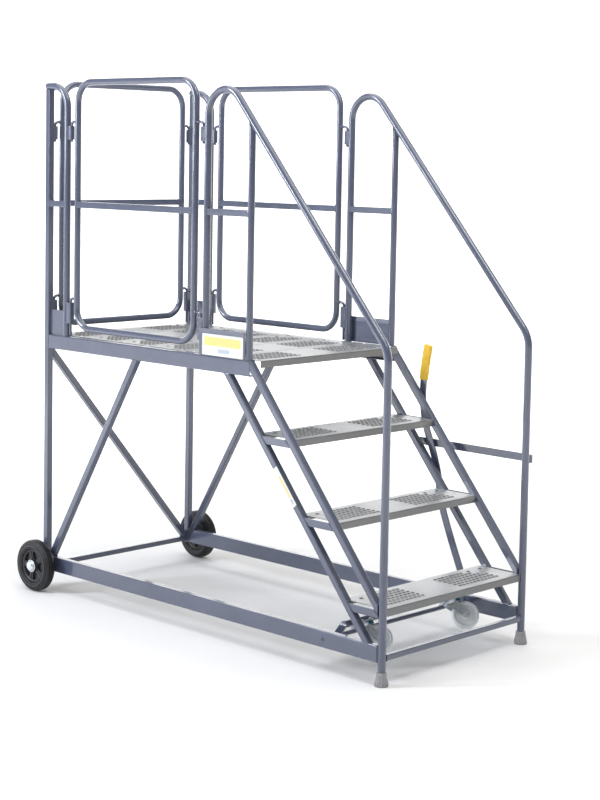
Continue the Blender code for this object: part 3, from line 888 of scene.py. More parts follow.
    def upright_bead(self, x: float, y: float, low: float, high: float, radius: float) -> None:
        """Weld up an upright edge between two heights."""
        self.bead([Vector((x, y, low)), Vector((x, y, high))], radius)

    def end_beads(self, start: Vector, end: Vector, normal: Vector, size: float, corner: float) -> None:
        """Weld both ends of a square bar that meets flat faces at a slope.

        Args:
            start: The bar's start.
            end: Its end.
            normal: The faces' normal.
            size: The bar's width.
            corner: Its corners' radius.
        """
        run = (end - start).normalized()
        across = run.cross(normal).normalized()
        upward = across.cross(run)
        for place in (start, end):
            ring = []
            for a, b in rectangle(size, size, corner, 3):
                point = place + across * a + upward * b
                ring.append(point + run * ((place - point).dot(normal) / run.dot(normal)))
            self.bead(ring, 0.002, True)

    def into_object(self, name: str, material: Material) -> bpy.types.Object:
        """Make the object, with even shading on its flats.

        Args:
            name: The object's name.
            material: Its finish.

        Returns:
            The linked object.
        """
        bmesh.ops.recalc_face_normals(self.bm, faces=self.bm.faces)
        mesh = bpy.data.meshes.new(name)
        self.bm.to_mesh(mesh)
        self.bm.free()
        mesh.shade_smooth()
        mesh.set_sharp_from_angle(angle=math.radians(38))
        mesh.materials.append(material)
        if self.second:
            mesh.materials.append(self.second)
        piece = bpy.data.objects.new(name, mesh)
        bpy.context.scene.collection.objects.link(piece)
        level = piece.modifiers.new("even_flats", "WEIGHTED_NORMAL")
        level.keep_sharp = True
        level.weight = 80
        return piece


def frame_of(axis: Vector) -> tuple[Vector, Vector, Vector]:
    """Return three directions at right angles, the last of them the axis.

    Args:
        axis: The direction to build on.

    Returns:
        Two directions across the axis, and the axis.
    """
    up = axis.normalized()
    across = up.cross(Z_AXIS) if abs(up.z) < 0.9 else up.cross(X_AXIS)
    across.normalize()
    return across, up.cross(across).normalized(), up


def mirrored(profile: Sequence[Flat]) -> list[Flat]:
    """Return a half profile and its reflection in the middle plane."""
    return [*profile, *[(radius, -height) for radius, height in profile[::-1]]]


def bar_of(node: str, along_x: bool) -> tuple[Vector, Vector, float, float]:
    """Return a straight bar's ends, width and depth, from its node's box.

    Args:
        node: The bar's CAD node.
        along_x: Whether it runs along X, not Y.

    Returns:
        Its start, end, width and depth.
    """
    low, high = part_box(node)
    middle = (low + high) / 2
    if along_x:
        start = Vector((low.x, middle.y, middle.z))
        return start, Vector((high.x, middle.y, middle.z)), high.y - low.y, high.z - low.z
    start = Vector((middle.x, low.y, middle.z))
    return start, Vector((middle.x, high.y, middle.z)), high.x - low.x, high.z - low.z


def spaced(path: Sequence[Vector], step: float, closed: bool) -> list[Vector]:
    """Return points at an even step along a path.

    Args:
        path: The points to pass through.
        step: The distance wanted.
        closed: Whether the path is a loop.

    Returns:
        The evenly spaced points.
    """
    places = [Vector(place) for place in path]
    if closed:
        places.append(places[0])
    result: list[Vector] = []
    for first, second in zip(places, places[1:]):
        count = max(1, round((second - first).length / step))
        result += [first.lerp(second, index / count) for index in range(count)]
    if not closed:
        result.append(places[-1])
    return result


def saddle(
    middle: Vector, run: Vector, upright: Vector, wide: float, deep: float, radius: float
) -> list[Vector]:
    """Return the line where a box section meets a round tube.

    Args:
        middle: The point on the tube's centre line that the section aims at.
        run: The direction from the tube along the section.
        upright: The tube's direction.
        wide: The section's size across the tube.
        deep: Its size along the tube.
        radius: The tube's radius, or 0 for a flat face through the middle.

    Returns:
        A closed line round the section.
    """
    across = upright.cross(run).normalized()
    line = []
    for a, b in rectangle(wide, deep, 0.002, 2):
        bulge = math.sqrt(max(radius**2 - a**2, 0)) if radius else 0.0
        line.append(middle + across * a + upright * b + run * (bulge + 0.0004))
    return line


# ---- frame datum
@dataclass(frozen=True)
class Datum:
    """The stand's main lines, read from the frame."""

    rear_x: float
    front_x: float
    side_y: float
    deck_top: float
    channel_top: float
    channel_low: float
    rail_top: float
    pivot: Vector

    @classmethod
    def read(cls, joints: Sequence[dict]) -> Datum:
        """Read the main lines from the frame's boxes and joints.

        Args:
            joints: The frame's joints.

        Returns:
            The datum.
        """
        rear_low, rear_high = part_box("rear_cross_bar")
        front_low, front_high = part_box("front_cross_bar")
        rail_low, rail_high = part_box("base_rail_far")
        channel_low, channel_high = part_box("deck_channel_near")
        swing = next(joint for joint in joints if joint["name"] == "castor_lift_swing")
        return cls(
            rear_x=(rear_low.x + rear_high.x) / 2, front_x=(front_low.x + front_high.x) / 2,
            side_y=(rail_low.y + rail_high.y) / 2, deck_top=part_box("deck_plank_1")[1].z,
            channel_top=channel_high.z, channel_low=channel_low.z, rail_top=rail_high.z,
            pivot=Vector(swing["pos_m"])
        )


class Workshop:
    """Turns shapes into pieces, dressed and set on their bodies."""

    def __init__(self, joints: Sequence[dict]) -> None:
        """Read the datum and build the finishes.

        Args:
            joints: The frame's joints.
        """
        self.joints = {joint["name"]: joint for joint in joints}
        self.datum = Datum.read(joints)
        self.finishes = {
            Finish.ENAMEL: Enamel().build(), Finish.GALVANISED: Galvanised().build(),
            Finish.RUBBER: TyreRubber().build(),
            Finish.HUB: Moulding(
                "hub_plastic", (0.03, 0.03, 0.033), (0.05, 0.05, 0.054), (0.1, 0.095, 0.09)
            ).build(),
            Finish.ZINC: ZincPlate().build(),
            Finish.NYLON: Moulding(
                "cast_nylon", (0.8, 0.84, 0.88), (0.88, 0.91, 0.94), (0.46, 0.45, 0.43), 0.3, 0.06,
                soft=0.12
            ).build(),
            Finish.FERRULE: Moulding(
                "ferrule_plastic", (0.27, 0.265, 0.28), (0.35, 0.345, 0.36), gloss=0.48
            ).build(),
            Finish.GRIP: Moulding(
                "grip_plastic", (0.72, 0.43, 0.016), (0.84, 0.55, 0.03), (0.3, 0.17, 0.02)
            ).build()
        }

    def put(
        self, shape: Shape, name: str, stands_for: Sequence[str] = (),
        finish: Finish | Material = Finish.ENAMEL, body: str = "frame", slot: str = ""
    ) -> bpy.types.Object:
        """Make a piece and set it on its body.

        Args:
            shape: The piece's shells.
            name: The piece's name.
            stands_for: The CAD nodes that it replaces.
            finish: One of the stand's finishes, or a material of the piece's own.
            body: The body that it rides on.
            slot: The record's slot, where the finish doesn't name one; not used.

        Returns:
            The piece.
        """
        material = self.finishes[finish] if isinstance(finish, Finish) else finish
        piece = shape.into_object(name, material)
        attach(piece, body)
        if stands_for:
            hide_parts(*stands_for)
        LOG.info("%s rides on %s: %d faces", name, body, len(piece.data.polygons))
        return piece


# ---- gate sockets
class SocketKind(Enum):
    """How a gate socket is folded."""

    STRAP = "strap"
    CHANNEL = "channel"


@dataclass(frozen=True)
class GateSockets:
    """The upper and lower sockets that a gate's hook pins drop into."""

    offset: float = 0.024
    reach: float = 0.0115
    sheet: float = 0.0028
    upper: Flat = (1.774, 1.826)
    lower: Flat = (1.066, 1.147)
    embed: float = 0.002

    def add(self, shape: Shape, post: Vector, toward: Vector, radius: float) -> None:
        """Fold both sockets round their pins and weld them to a post.

        Args:
            shape: The post's piece.
            post: The post's centre line, at any height.
            toward: The direction from the post to the pin.
            radius: From the centre line to the post's surface where the legs meet it.
        """
        pin = post + toward * self.offset
        for kind, span in ((SocketKind.STRAP, self.upper), (SocketKind.CHANNEL, self.lower)):
            outline = self._outline(kind, self.offset - radius + self.embed)
            middle = Vector((pin.x, pin.y, sum(span) / 2))
            across = -toward
            shape.slab(outline, middle, across, Z_AXIS.cross(across), span[1] - span[0], 0.0005)
            sideways = Z_AXIS.cross(toward)
            for sign in (-1, 1):
                foot = post + toward * (radius - 0.0002) + sideways * (sign * (self.reach + 0.0006))
                shape.upright_bead(foot.x, foot.y, span[0] + 0.005, span[1] - 0.005, 0.0016)

    def _outline(self, kind: SocketKind, leg: float) -> list[Vector]:
        """Return the folded strap's outline in plan, with its legs towards the post.

        Args:
            kind: How the socket is folded.
            leg: How far its legs reach.

        Returns:
            The outline in plan.
        """
        middle = self.reach - self.sheet / 2
        if kind is SocketKind.STRAP:
            bend = middle * 0.98
        else:
            bend = 0.0042
        corners = [(leg, middle), (-middle, middle), (-middle, -middle), (leg, -middle)]
        return strip(rounded(corners, [0, bend, bend, 0], 8), self.sheet)


# ---- base and posts
@dataclass
class BaseFrame:
    """Base rails, cross bars, rear posts and braces."""

    shop: Workshop
    post: float = 0.025
    corner: float = 0.0034
    brace_foot: float = 0.034
    brace_head: float = 0.528
    brace_drop: float = 0.013
    sockets: GateSockets = field(default_factory=GateSockets)

    def build(self) -> None:
        """Build every piece of the base."""
        for side in Side:
            self._rail(side)
            self._post(side)
            self._side_brace(side)
        self._cross_bars()
        self._rear_brace()

    def _rail(self, side: Side) -> None:
        """Build one base rail with its end welds.

        Args:
            side: Which side it is on.
        """
        node = side.of("base_rail")
        start, end, wide, deep = bar_of(node, along_x=True)
        low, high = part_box(node)
        shape = Shape()
        shape.bar(start, end, wide, deep, self.corner)
        shape.bead(saddle(start, X_AXIS, Z_AXIS, wide, deep, 0), closed=True)
        for across in (-1, 1):
            y = start.y + across * wide * 0.46
            shape.upright_bead(high.x + 0.0035, y, low.z + 0.004, high.z - 0.004, 0.0022)
        self.shop.put(shape, side.of("rail_tube"), [node])

    def _post(self, side: Side) -> None:
        """Build one rear post with the rear gate's sockets, and its end plug.

        Args:
            side: Which side it is on.
        """
        datum = self.shop.datum
        node = side.of("rear_post")
        low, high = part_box(node)
        place = Vector((datum.rear_x, side.value * datum.side_y, 0))
        shape = Shape()
        start = place + Z_AXIS * low.z
        end = place + Z_AXIS * high.z
        shape.bar(start, end, self.post, self.post, self.corner, X_AXIS)
        inward = Vector((0, -side.value, 0))
        self.sockets.add(shape, place, inward, self.post / 2)
        shape.bead(saddle(end, -Z_AXIS, X_AXIS, self.post, self.post, 0), 0.0019, True)
        self.shop.put(shape, side.of("post_tube"), [node])
        plug = Shape()
        inset = self.post - 0.001
        plug.slab(
            rectangle(inset, inset, self.corner, 5), start - Z_AXIS * 0.0012, X_AXIS, Y_AXIS, 0.0024
        )
        plug.slab(
            rectangle(0.012, 0.012, 0.003, 4), start - Z_AXIS * 0.0026, X_AXIS, Y_AXIS, 0.0012, 0.0003
        )
        self.shop.put(plug, side.of("post_plug"), finish=Finish.HUB)

    def _side_brace(self, side: Side) -> None:
        """Build the brace from the rail's rear end to the platform's side.

        Args:
            side: Which side it is on.
        """
        datum = self.shop.datum
        y = side.value * datum.side_y
        start = Vector((datum.rear_x + self.brace_foot, y, datum.rail_top))
        end = Vector((datum.rear_x + self.brace_head, y, datum.channel_low))
        shape = Shape()
        planes = ((start + Z_AXIS * 0.0003, Z_AXIS), (end - Z_AXIS * 0.0003, Z_AXIS))
        shape.bar(start, end, self.post, self.post, self.corner, Z_AXIS, planes)
        shape.end_beads(start, end, Z_AXIS, self.post, self.corner)
        node = side.of("side_brace")
        self.shop.put(shape, side.of("brace_tube"), [node])

    def _cross_bars(self) -> None:
        """Build the rear and front cross bars."""
        for node, name in (("rear_cross_bar", "rear_axle_bar"), ("front_cross_bar", "front_foot_bar")):
            start, end, _, size = bar_of(node, along_x=False)
            shape = Shape()
            shape.bar(start, end, size, size, self.corner * 0.85)
            for place, run in ((start, Y_AXIS), (end, -Y_AXIS)):
                shape.bead(saddle(place, run, Z_AXIS, size, size, 0), 0.0018, True)
            self.shop.put(shape, name, [node])

    def _rear_brace(self) -> None:
        """Build the diagonal between the rear posts, trimmed at both."""
        datum = self.shop.datum
        low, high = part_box("rear_brace")
        bar_low, bar_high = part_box("rear_cross_bar")
        reach = datum.side_y - self.post / 2
        start = Vector((datum.rear_x, -reach, datum.channel_low - self.brace_drop))
        end = Vector((datum.rear_x, reach, (bar_low.z + bar_high.z) / 2))
        shape = Shape()
        run = (end - start).normalized()
        shape.bar(start - run * 0.05, end + run * 0.05, self.post, self.post, self.corner, X_AXIS)
        cuts = (
            (Vector((0, low.y, 0)), -Y_AXIS), (Vector((0, high.y, 0)), Y_AXIS),
            (Vector((0, 0, high.z)), Z_AXIS), (Vector((0, 0, low.z)), -Z_AXIS)
        )
        for point, normal in cuts:
            everything = [*shape.bm.verts, *shape.bm.edges, *shape.bm.faces]
            cut = bmesh.ops.bisect_plane(
                shape.bm, geom=everything, plane_co=point, plane_no=normal, clear_outer=True
            )
            rim = [item for item in cut["geom_cut"] if isinstance(item, bmesh.types.BMEdge)]
            bmesh.ops.holes_fill(shape.bm, edges=rim, sides=0)
        self.shop.put(shape, "rear_brace_tube", ["rear_brace"])


# ---- perforated trays
@dataclass(frozen=True)
class Tray:
    """A folded, punched sheet: the same stock makes the platform planks and the treads."""

    sheet: float = 0.002
    bend: float = 0.0035
    rows: int = 6
    row_pitch: float = 0.0225
    columns: int = 11
    column_pitch: float = 0.0205
    group_starts: tuple[float, float] = (-0.345, 0.06)
    hole: float = 0.0056
    lip: float = 0.0017
    lip_wide: float = 0.003
    collar: float = 0.0015
    sides: int = 12
    bolt_y: float = 0.322

    def _stations(self, low: Vector, high: Vector) -> tuple[list[Flat], list[int]]:
        """Return the fold's points in (x, z), and where each row of holes starts.

        Args:
            low: The lowest corner of the tray's box.
            high: Its highest corner.

        Returns:
            The points, and the indices where hole rows start.
        """
        margin = (high.x - low.x - self.rows * self.row_pitch) / 2
        corners = [(low.x, low.z), (low.x, high.z), (high.x, high.z), (high.x, low.z)]
        fold = [tuple(place) for place in rounded(corners, self.bend, 5)]
        turn = len(fold) // 2
        first = low.x + margin
        rows = [(first + index * self.row_pitch, high.z) for index in range(self.rows + 1)]
        stations = fold[:turn] + rows + fold[turn:]
        return stations, list(range(turn, turn + self.rows))

    def _columns(self, low: Vector, high: Vector) -> tuple[list[float], dict[int, int]]:
        """Return the grid's lines across the width, and each hole column's number.

        Args:
            low: The lowest corner of the tray's box.
            high: Its highest corner.

        Returns:
            The lines' places, and hole column numbers by line.
        """
        lines = [low.y]
        numbers: dict[int, int] = {}
        bolts = (-self.bolt_y, self.bolt_y)
        for group, start in enumerate(self.group_starts):
            for index in range(self.columns + 1):
                if index < self.columns:
                    numbers[len(lines)] = index if group == 0 else self.columns - 1 - index
                lines.append(start + index * self.column_pitch)
        if bolts[1] - self.column_pitch / 2 > lines[-1]:
            numbers[len(lines)] = -1
            lines.append(bolts[1] - self.column_pitch / 2)
            lines.append(bolts[1] + self.column_pitch / 2)
        lines.append(high.y)
        return lines, numbers

    def _is_punched(self, row: int, number: int) -> bool:
        """Return whether a cell has a hole: the rear rows stop short at the outer ends.

        Args:
            row: The row of holes, from the rear.
            number: The column's number in its group, or -1 for a bolt hole.

        Returns:
            Whether it is punched.
        """
        if number < 0:
            return row == 0
        if number == 1 and row == 0:
            return True
        return number >= max(0, 3 - row)

    def build(self, low: Vector, high: Vector) -> Shape:
        """Fold and punch one tray.

        Args:
            low: The lowest corner of the tray's box.
            high: Its highest corner.

        Returns:
            The tray's closed shell.
        """
        shape = Shape()
        # The hole walls take a second material, painted near-black as shade.
        shape.second = GrimyEdge().build()
        stations, hole_rows = self._stations(low, high)
        lines, numbers = self._columns(low, high)
        path = [Vector(place) for place in stations]
        outer = self._layer(shape, path, lines, 0.0)
        inner = self._layer(shape, path, lines, self.sheet)
        for row in range(len(path) - 1):
            for column in range(len(lines) - 1):
                corners = [(row, column), (row + 1, column), (row + 1, column + 1), (row, column + 1)]
                top = [outer[a][b] for a, b in corners]
                under = [inner[a][b] for a, b in corners]
                rank = row - hole_rows[0]
                is_hole_row = row in hole_rows and column in numbers
                if is_hole_row and self._is_punched(rank, numbers[column]):
                    self._punch(shape, top, under)
                else:
                    shape.bm.faces.new(top)
                    shape.bm.faces.new(under[::-1])
        self._close_edges(shape, outer, inner)
        return shape

    def _layer(
        self, shape: Shape, path: Sequence[Vector], lines: Sequence[float], depth: float
    ) -> list[list[Vert]]:
        """Return a grid of vertices that lies a depth inside the fold.

        Args:
            shape: The tray's shell.
            path: The fold's line.
            lines: The grid's places across the width.
            depth: How far inside the fold it lies.

        Returns:
            The vertices, by row.
        """
        grid = []
        for index, place in enumerate(path):
            back = path[max(index - 1, 0)]
            ahead = path[min(index + 1, len(path) - 1)]
            run = (ahead - back).normalized()
            point = place + Vector((run.y, -run.x)) * depth
            grid.append([shape.bm.verts.new((point.x, y, point.y)) for y in lines])
        return grid

    def _punch(self, shape: Shape, top: list[Vert], under: list[Vert]) -> None:
        """Punch one cell upwards: a raised lip round a round hole.

        Args:
            shape: The tray's shell.
            top: The cell's upper corners.
            under: Its lower corners.
        """
        bm = shape.bm
        middle = sum((vert.co for vert in top), Vector()) / 4
        floor = under[0].co.z
        rings = []
        levels = (
            (self.hole + self.lip_wide, middle.z),
            (self.hole + self.lip_wide * 0.45, middle.z + self.lip * 0.85),
            (self.hole + 0.0004, middle.z + self.lip), (self.hole - 0.0002, middle.z + self.lip * 0.75),
            (self.hole - 0.0002, floor - self.collar), (self.hole + 0.001, floor - self.collar),
            (self.hole + self.lip_wide, floor)
        )
        start = math.radians(-135)
        for radius, height in levels:
            ring = []
            for index in range(self.sides):
                turn = start + 2 * math.pi * index / self.sides
                x = middle.x + radius * math.cos(turn)
                y = middle.y + radius * math.sin(turn)
                ring.append(bm.verts.new((x, y, height)))
            rings.append(ring)
        quarter = self.sides // 4
        for sheet, ring in ((top, rings[0]), (under, rings[-1])):
            for index in range(4):
                arc = [ring[(index * quarter + step) % self.sides] for step in range(quarter + 1)]
                bm.faces.new([sheet[index], sheet[(index + 1) % 4], *arc[::-1]])
        for rank, (first, second) in enumerate(zip(rings, rings[1:])):
            for face in shape.band(first, second):
                # The bands from the lip's crest down the wall to the collar's foot get the second material:
                # painted shade.
                face.material_index = int(rank in (2, 3, 4))

    def _close_edges(self, shape: Shape, outer: list[list[Vert]], inner: list[list[Vert]]) -> None:
        """Close the sheet's thickness along its four cut edges.

        Args:
            shape: The tray's shell.
            outer: The outer grid.
            inner: The inner grid.
        """
        for row in (0, -1):
            for first, second in zip(zip(outer[row], inner[row]), zip(outer[row][1:], inner[row][1:])):
                shape.bm.faces.new([first[0], first[1], second[1], second[0]])
        for column in (0, -1):
            rims = [(one[column], two[column]) for one, two in zip(outer, inner)]
            for first, second in zip(rims, rims[1:]):
                shape.bm.faces.new([first[0], second[0], second[1], first[1]])


# ---- platform
@dataclass
class Platform:
    """Side channels, rear rail, planks and their screws."""

    shop: Workshop
    wall: float = 0.003
    screw_y: float = 0.352
    screw_inset: float = 0.03
    planks: int = 6
    tray: Tray = field(default_factory=Tray)

    def build(self) -> None:
        """Build every piece of the platform."""
        for side in Side:
            self._channel(side)
        start, end, wide, deep = bar_of("deck_end_rail", along_x=False)
        shape = Shape()
        shape.bar(start, end, wide, deep, 0.0034)
        for place, run in ((start, Y_AXIS), (end, -Y_AXIS)):
            shape.bead(saddle(place, run, Z_AXIS, wide, deep, 0), 0.002, True)
        self.shop.put(shape, "platform_rear_rail", ["deck_end_rail"])
        screws = Shape()
        for number in range(1, self.planks + 1):
            node = f"deck_plank_{number}"
            low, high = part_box(node)
            plank = self.tray.build(low, high)
            self.shop.put(plank, f"platform_plank_{number}", [node], Finish.GALVANISED)
            for x in (low.x + self.screw_inset, high.x - self.screw_inset):
                for side in Side:
                    place = Vector((x, side.value * self.screw_y, high.z))
                    self._screw(screws, place)
        self.shop.put(screws, "plank_screws", finish=Finish.ZINC)

    @staticmethod
    def _screw(shape: Shape, place: Vector) -> None:
        """Add a domed screw head with a round socket sunk in it."""
        dome = [(0.0018, 0.001), (0.0022, 0.0021), (0.0034, 0.0017), (0.0044, 0.0009), (0.0048, 0.0)]
        shape.turned([(0, 0.001), *dome, (0, 0)], place, Z_AXIS, 18)

    def _channel(self, side: Side) -> None:
        """Build one folded side channel, open towards the planks.

        Args:
            side: Which side it is on.
        """
        node = side.of("deck_channel")
        low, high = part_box(node)
        half = self.wall / 2
        outer = high.y - half if side is Side.FAR else low.y + half
        inner = low.y if side is Side.FAR else high.y
        corners = [
            (inner, low.z + half), (outer, low.z + half), (outer, high.z - half), (inner, high.z - half)
        ]
        outline = strip(rounded(corners, 0.0035, 6), self.wall)
        shape = Shape()
        middle = Vector(((low.x + high.x) / 2, 0, 0))
        shape.slab(outline, middle, Y_AXIS, Z_AXIS, high.x - low.x, 0.0004)
        face = outer + side.value * half * 0.9
        shape.upright_bead(low.x + 0.001, face, low.z + 0.004, high.z - 0.004, 0.0018)
        self.shop.put(shape, side.of("platform_channel"), [node])


# ---- stair
@dataclass
class Stair:
    """Stringers, tread brackets and treads; distances are from the rear posts."""

    shop: Workshop
    section: float = 0.025
    corner: float = 0.0044
    slope: float = 1.21
    rear: Flat = (1.1006, 0.8675)
    front: Flat = (1.236, 0.8823)
    treads: int = 3
    flange_thick: float = 0.003
    flange_wide: float = 0.022
    tray: Tray = field(default_factory=Tray)

    def on_line(self, line: Flat, height: float, y: float) -> Vector:
        """Return the point of a stringer's centre line at a height."""
        x = self.shop.datum.rear_x + line[0] + (line[1] - height) / self.slope
        return Vector((x, y, height))

    def build(self) -> None:
        """Build every piece of the stair."""
        for side in Side:
            self._rear_stringer(side)
            self._front_stringer(side)
        for number in range(1, self.treads + 1):
            node = f"tread_{number}"
            low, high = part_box(node)
            tray = self.tray.build(low, high)
            self.shop.put(tray, f"step_tray_{number}", [node], Finish.GALVANISED)

    def _rear_stringer(self, side: Side) -> None:
        """Build one rear stringer with the three brackets under the tread ends.

        Args:
            side: Which side it is on.
        """
        datum = self.shop.datum
        y = side.value * datum.side_y
        start = self.on_line(self.rear, datum.channel_low, y)
        end = self.on_line(self.rear, datum.rail_top, y)
        shape = Shape()
        planes = ((start - Z_AXIS * 0.0003, Z_AXIS), (end + Z_AXIS * 0.0003, Z_AXIS))
        shape.bar(start, end, self.section, self.section, self.corner, X_AXIS, planes)
        shape.end_beads(start, end, Z_AXIS, self.section, self.corner)
        for number in range(1, self.treads + 1):
            self._bracket(shape, side, number)
        node = side.of("rear_stringer")
        self.shop.put(shape, side.of("back_stringer"), [node])

    def _bracket(self, shape: Shape, side: Side, number: int) -> None:
        """Add the angle that carries one tread's end, from stringer to stringer.

        Args:
            shape: The stringer's piece.
            side: Which side it is on.
            number: The tread that it carries.
        """
        low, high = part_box(f"tread_{number}")
        top = high.z - self.tray.sheet
        half = self.section / 2 / math.sin(math.atan(self.slope))
        y = side.value * self.shop.datum.side_y
        bottom = low.z
        rear_top = self.on_line(self.rear, top, y).x + half
        rear_low = self.on_line(self.rear, bottom, y).x + half
        front_top = self.on_line(self.front, top, y).x - half
        front_low = self.on_line(self.front, bottom, y).x - half
        outline = [(rear_low, bottom), (front_low, bottom), (front_top, top), (rear_top, top)]
        face = y + side.value * (self.section / 2 - self.flange_thick / 2 - 0.001)
        origin = Vector((0, face, 0))
        shape.slab(outline, origin, X_AXIS, Z_AXIS, self.flange_thick)
        ledge_low = min(face, face - side.value * self.flange_wide)
        ledge_high = max(face, face - side.value * self.flange_wide)
        ledge = [
            (rear_low + 0.004, ledge_low), (front_low - 0.002, ledge_low),
            (front_low - 0.002, ledge_high), (rear_low + 0.004, ledge_high)
        ]
        under = Vector((0, 0, bottom - self.flange_thick / 2))
        shape.slab(ledge, under, X_AXIS, Y_AXIS, self.flange_thick)
        for bottom_x, top_x in ((rear_low, rear_top), (front_low, front_top)):
            outside = face + side.value * self.flange_thick * 0.5
            path = [Vector((bottom_x, outside, bottom + 0.002)), Vector((top_x, outside, top - 0.002))]
            shape.bead(path, 0.0017)

    def _front_stringer(self, side: Side) -> None:
        """Build one front stringer between the platform's end and the front leg.

        Args:
            side: Which side it is on.
        """
        node = side.of("front_stringer")
        low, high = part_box(node)
        y = side.value * self.shop.datum.side_y
        start = self.on_line(self.front, high.z, y)
        end = self.on_line(self.front, low.z, y)
        planes = ((Vector((low.x, y, 0)), X_AXIS), (Vector((high.x, y, 0)), X_AXIS))
        shape = Shape()
        shape.bar(start, end, self.section, self.section, self.corner, X_AXIS, planes)
        feet = []
        for x in (low.x, high.x):
            height = self.front[1] + (self.shop.datum.rear_x + self.front[0] - x) * self.slope
            feet.append(self.on_line(self.front, height, y))
        shape.end_beads(feet[0], feet[1], X_AXIS, self.section, self.corner)
        self.shop.put(shape, side.of("front_stringer_tube"), [node])


# ---- guards
@dataclass
class Guards:
    """Handrails, rear hoops, mid rails and toe plates; distances from the rear posts."""

    shop: Workshop
    tube: float = 0.0135
    post_tube: float = 0.0125
    hoop_x: float = 0.1107
    hoop_top: float = 1.979
    hoop_bend: float = 0.085
    rail_x: float = 0.904
    post_x: float = 1.127
    elbow_z: float = 1.105
    rise: float = 1.154
    top_bend: float = 0.088
    elbow_bend: float = 0.11
    lip: float = 0.016
    lip_lean: float = 0.0028
    label_inset: Flat = (0.0165, 0.0085)
    label_sheet: float = 0.0004
    sockets: GateSockets = field(default_factory=GateSockets)

    def build(self) -> None:
        """Build both sides' guards."""
        for side in Side:
            self._handrail(side)
            self._front_post(side)
            self._hoop(side)
            self._mid_rails(side)
            self._rear_toe_plate(side)
            self._front_toe_plate(side)
        self._label()

    def _handrail(self, side: Side) -> None:
        """Build one handrail: front leg, elbow, slope, top bend and rear upright.

        Args:
            side: Which side it is on.
        """
        datum = self.shop.datum
        node = side.of("handrail")
        low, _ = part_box(node)
        y = side.value * datum.side_y
        rear = datum.rear_x + self.rail_x
        top = self.elbow_z + (datum.front_x - rear) * self.rise
        corners = [
            Vector((datum.front_x, y, low.z)), Vector((datum.front_x, y, self.elbow_z)),
            Vector((rear, y, top)), Vector((rear, y, datum.channel_top + 0.0003))
        ]
        shape = Shape()
        shape.tube(rounded(corners, [0, self.elbow_bend, self.top_bend, 0], 18), self.tube)
        self.sockets.add(shape, Vector((rear, y, 0)), -X_AXIS, self.tube * 0.62)
        self._foot_weld(shape, corners[-1], self.tube)
        self.shop.put(shape, side.of("handrail_tube"), [node])

    @staticmethod
    def _foot_weld(shape: Shape, foot: Vector, radius: float) -> None:
        """Add the weld ring where an upright stands on the channel."""
        ring = [foot + Vector((a, b, 0.0006)) for a, b in circle(radius + 0.0006, 24)]
        shape.bead(ring, 0.002, True)

    def _front_post(self, side: Side) -> None:
        """Build the upright under the slope, with a mitred and welded top.

        Args:
            side: Which side it is on.
        """
        datum = self.shop.datum
        node = side.of("front_post")
        y = side.value * datum.side_y
        x = datum.rear_x + self.post_x
        slope = math.atan(self.rise)
        drop = self.tube / math.cos(slope) + 0.0003
        under = Vector((x, y, self.elbow_z + (datum.front_x - x) * self.rise - drop))
        normal = Vector((self.rise, 0, 1)).normalized()
        foot = Vector((x, y, datum.channel_top + 0.0003))
        shape = Shape()
        shape.tube([foot, under], self.post_tube, ends=(None, (under, normal)))
        ring = []
        for a, b in circle(self.post_tube + 0.0004, 28):
            lift = self.tube - math.sqrt(self.tube**2 - b**2)
            ring.append(Vector((x + a, y + b, under.z - a * self.rise + lift * 1.3)))
        shape.bead(ring, 0.002, True)
        self._foot_weld(shape, foot, self.post_tube)
        self.shop.put(shape, side.of("guard_post"), [node])

    def _hoop(self, side: Side) -> None:
        """Build the bent tube over one rear corner.

        Args:
            side: Which side it is on.
        """
        datum = self.shop.datum
        node = side.of("corner_hoop")
        low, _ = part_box(node)
        y = side.value * datum.side_y
        x = datum.rear_x + self.hoop_x
        corners = [
            Vector((low.x, y, self.hoop_top)), Vector((x, y, self.hoop_top)),
            Vector((x, y, datum.channel_top + 0.0003))
        ]
        shape = Shape()
        shape.tube(rounded(corners, self.hoop_bend, 18), self.tube)
        self.sockets.add(shape, Vector((x, y, 0)), X_AXIS, self.tube * 0.62)
        self._foot_weld(shape, corners[-1], self.tube)
        cap = [(0, -0.0004), (self.tube * 0.9, -0.0002), (self.tube * 0.98, 0.0008), (0, 0.0016)]
        end = [(radius, -height) for radius, height in cap[:3]]
        shape.turned([*end, (0, -0.0012)], corners[0], -X_AXIS, 28)
        self.shop.put(shape, side.of("corner_tube"), [node])

    def _mid_rails(self, side: Side) -> None:
        """Build the short rails half way up the handrail and the rear corner.

        Args:
            side: Which side it is on.
        """
        for node, name, radii in (
            (side.of("handrail_mid_rail"), "knee_rail_front", (self.tube, self.post_tube)),
            (side.of("corner_mid_rail"), "knee_rail_rear", (0.0, self.tube))
        ):
            start, end, wide, deep = bar_of(node, along_x=True)
            shape = Shape()
            reach = [0.006 if radius else 0.0 for radius in radii]
            shape.bar(start - X_AXIS * reach[0], end + X_AXIS * reach[1], wide, deep, 0.003)
            for place, run, radius in ((start, X_AXIS, radii[0]), (end, -X_AXIS, radii[1])):
                centre = place - run * (radius + 0.0003 if radius else 0.0)
                shape.bead(saddle(centre, run, Z_AXIS, wide, deep, radius), 0.0019, True)
            self.shop.put(shape, side.of(name), [node])

    def _rear_toe_plate(self, side: Side) -> None:
        """Build the plate that closes the rear corner at the platform's edge.

        Args:
            side: Which side it is on.
        """
        node = side.of("rear_toe_plate")
        low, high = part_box(node)
        middle = (low + high) / 2
        corners = [(low.x, low.z), (high.x, low.z), (high.x, high.z), (low.x, high.z)]
        shape = Shape()
        shape.slab(corners, Vector((0, middle.y, 0)), X_AXIS, Z_AXIS, high.y - low.y, 0.0007)
        for x in (low.x, high.x):
            for sign in (-1, 1):
                y = middle.y + sign * 0.0018
                shape.upright_bead(x, y, low.z + 0.012, high.z - 0.012, 0.0017)
        self.shop.put(shape, side.of("corner_kick_plate"), [node])

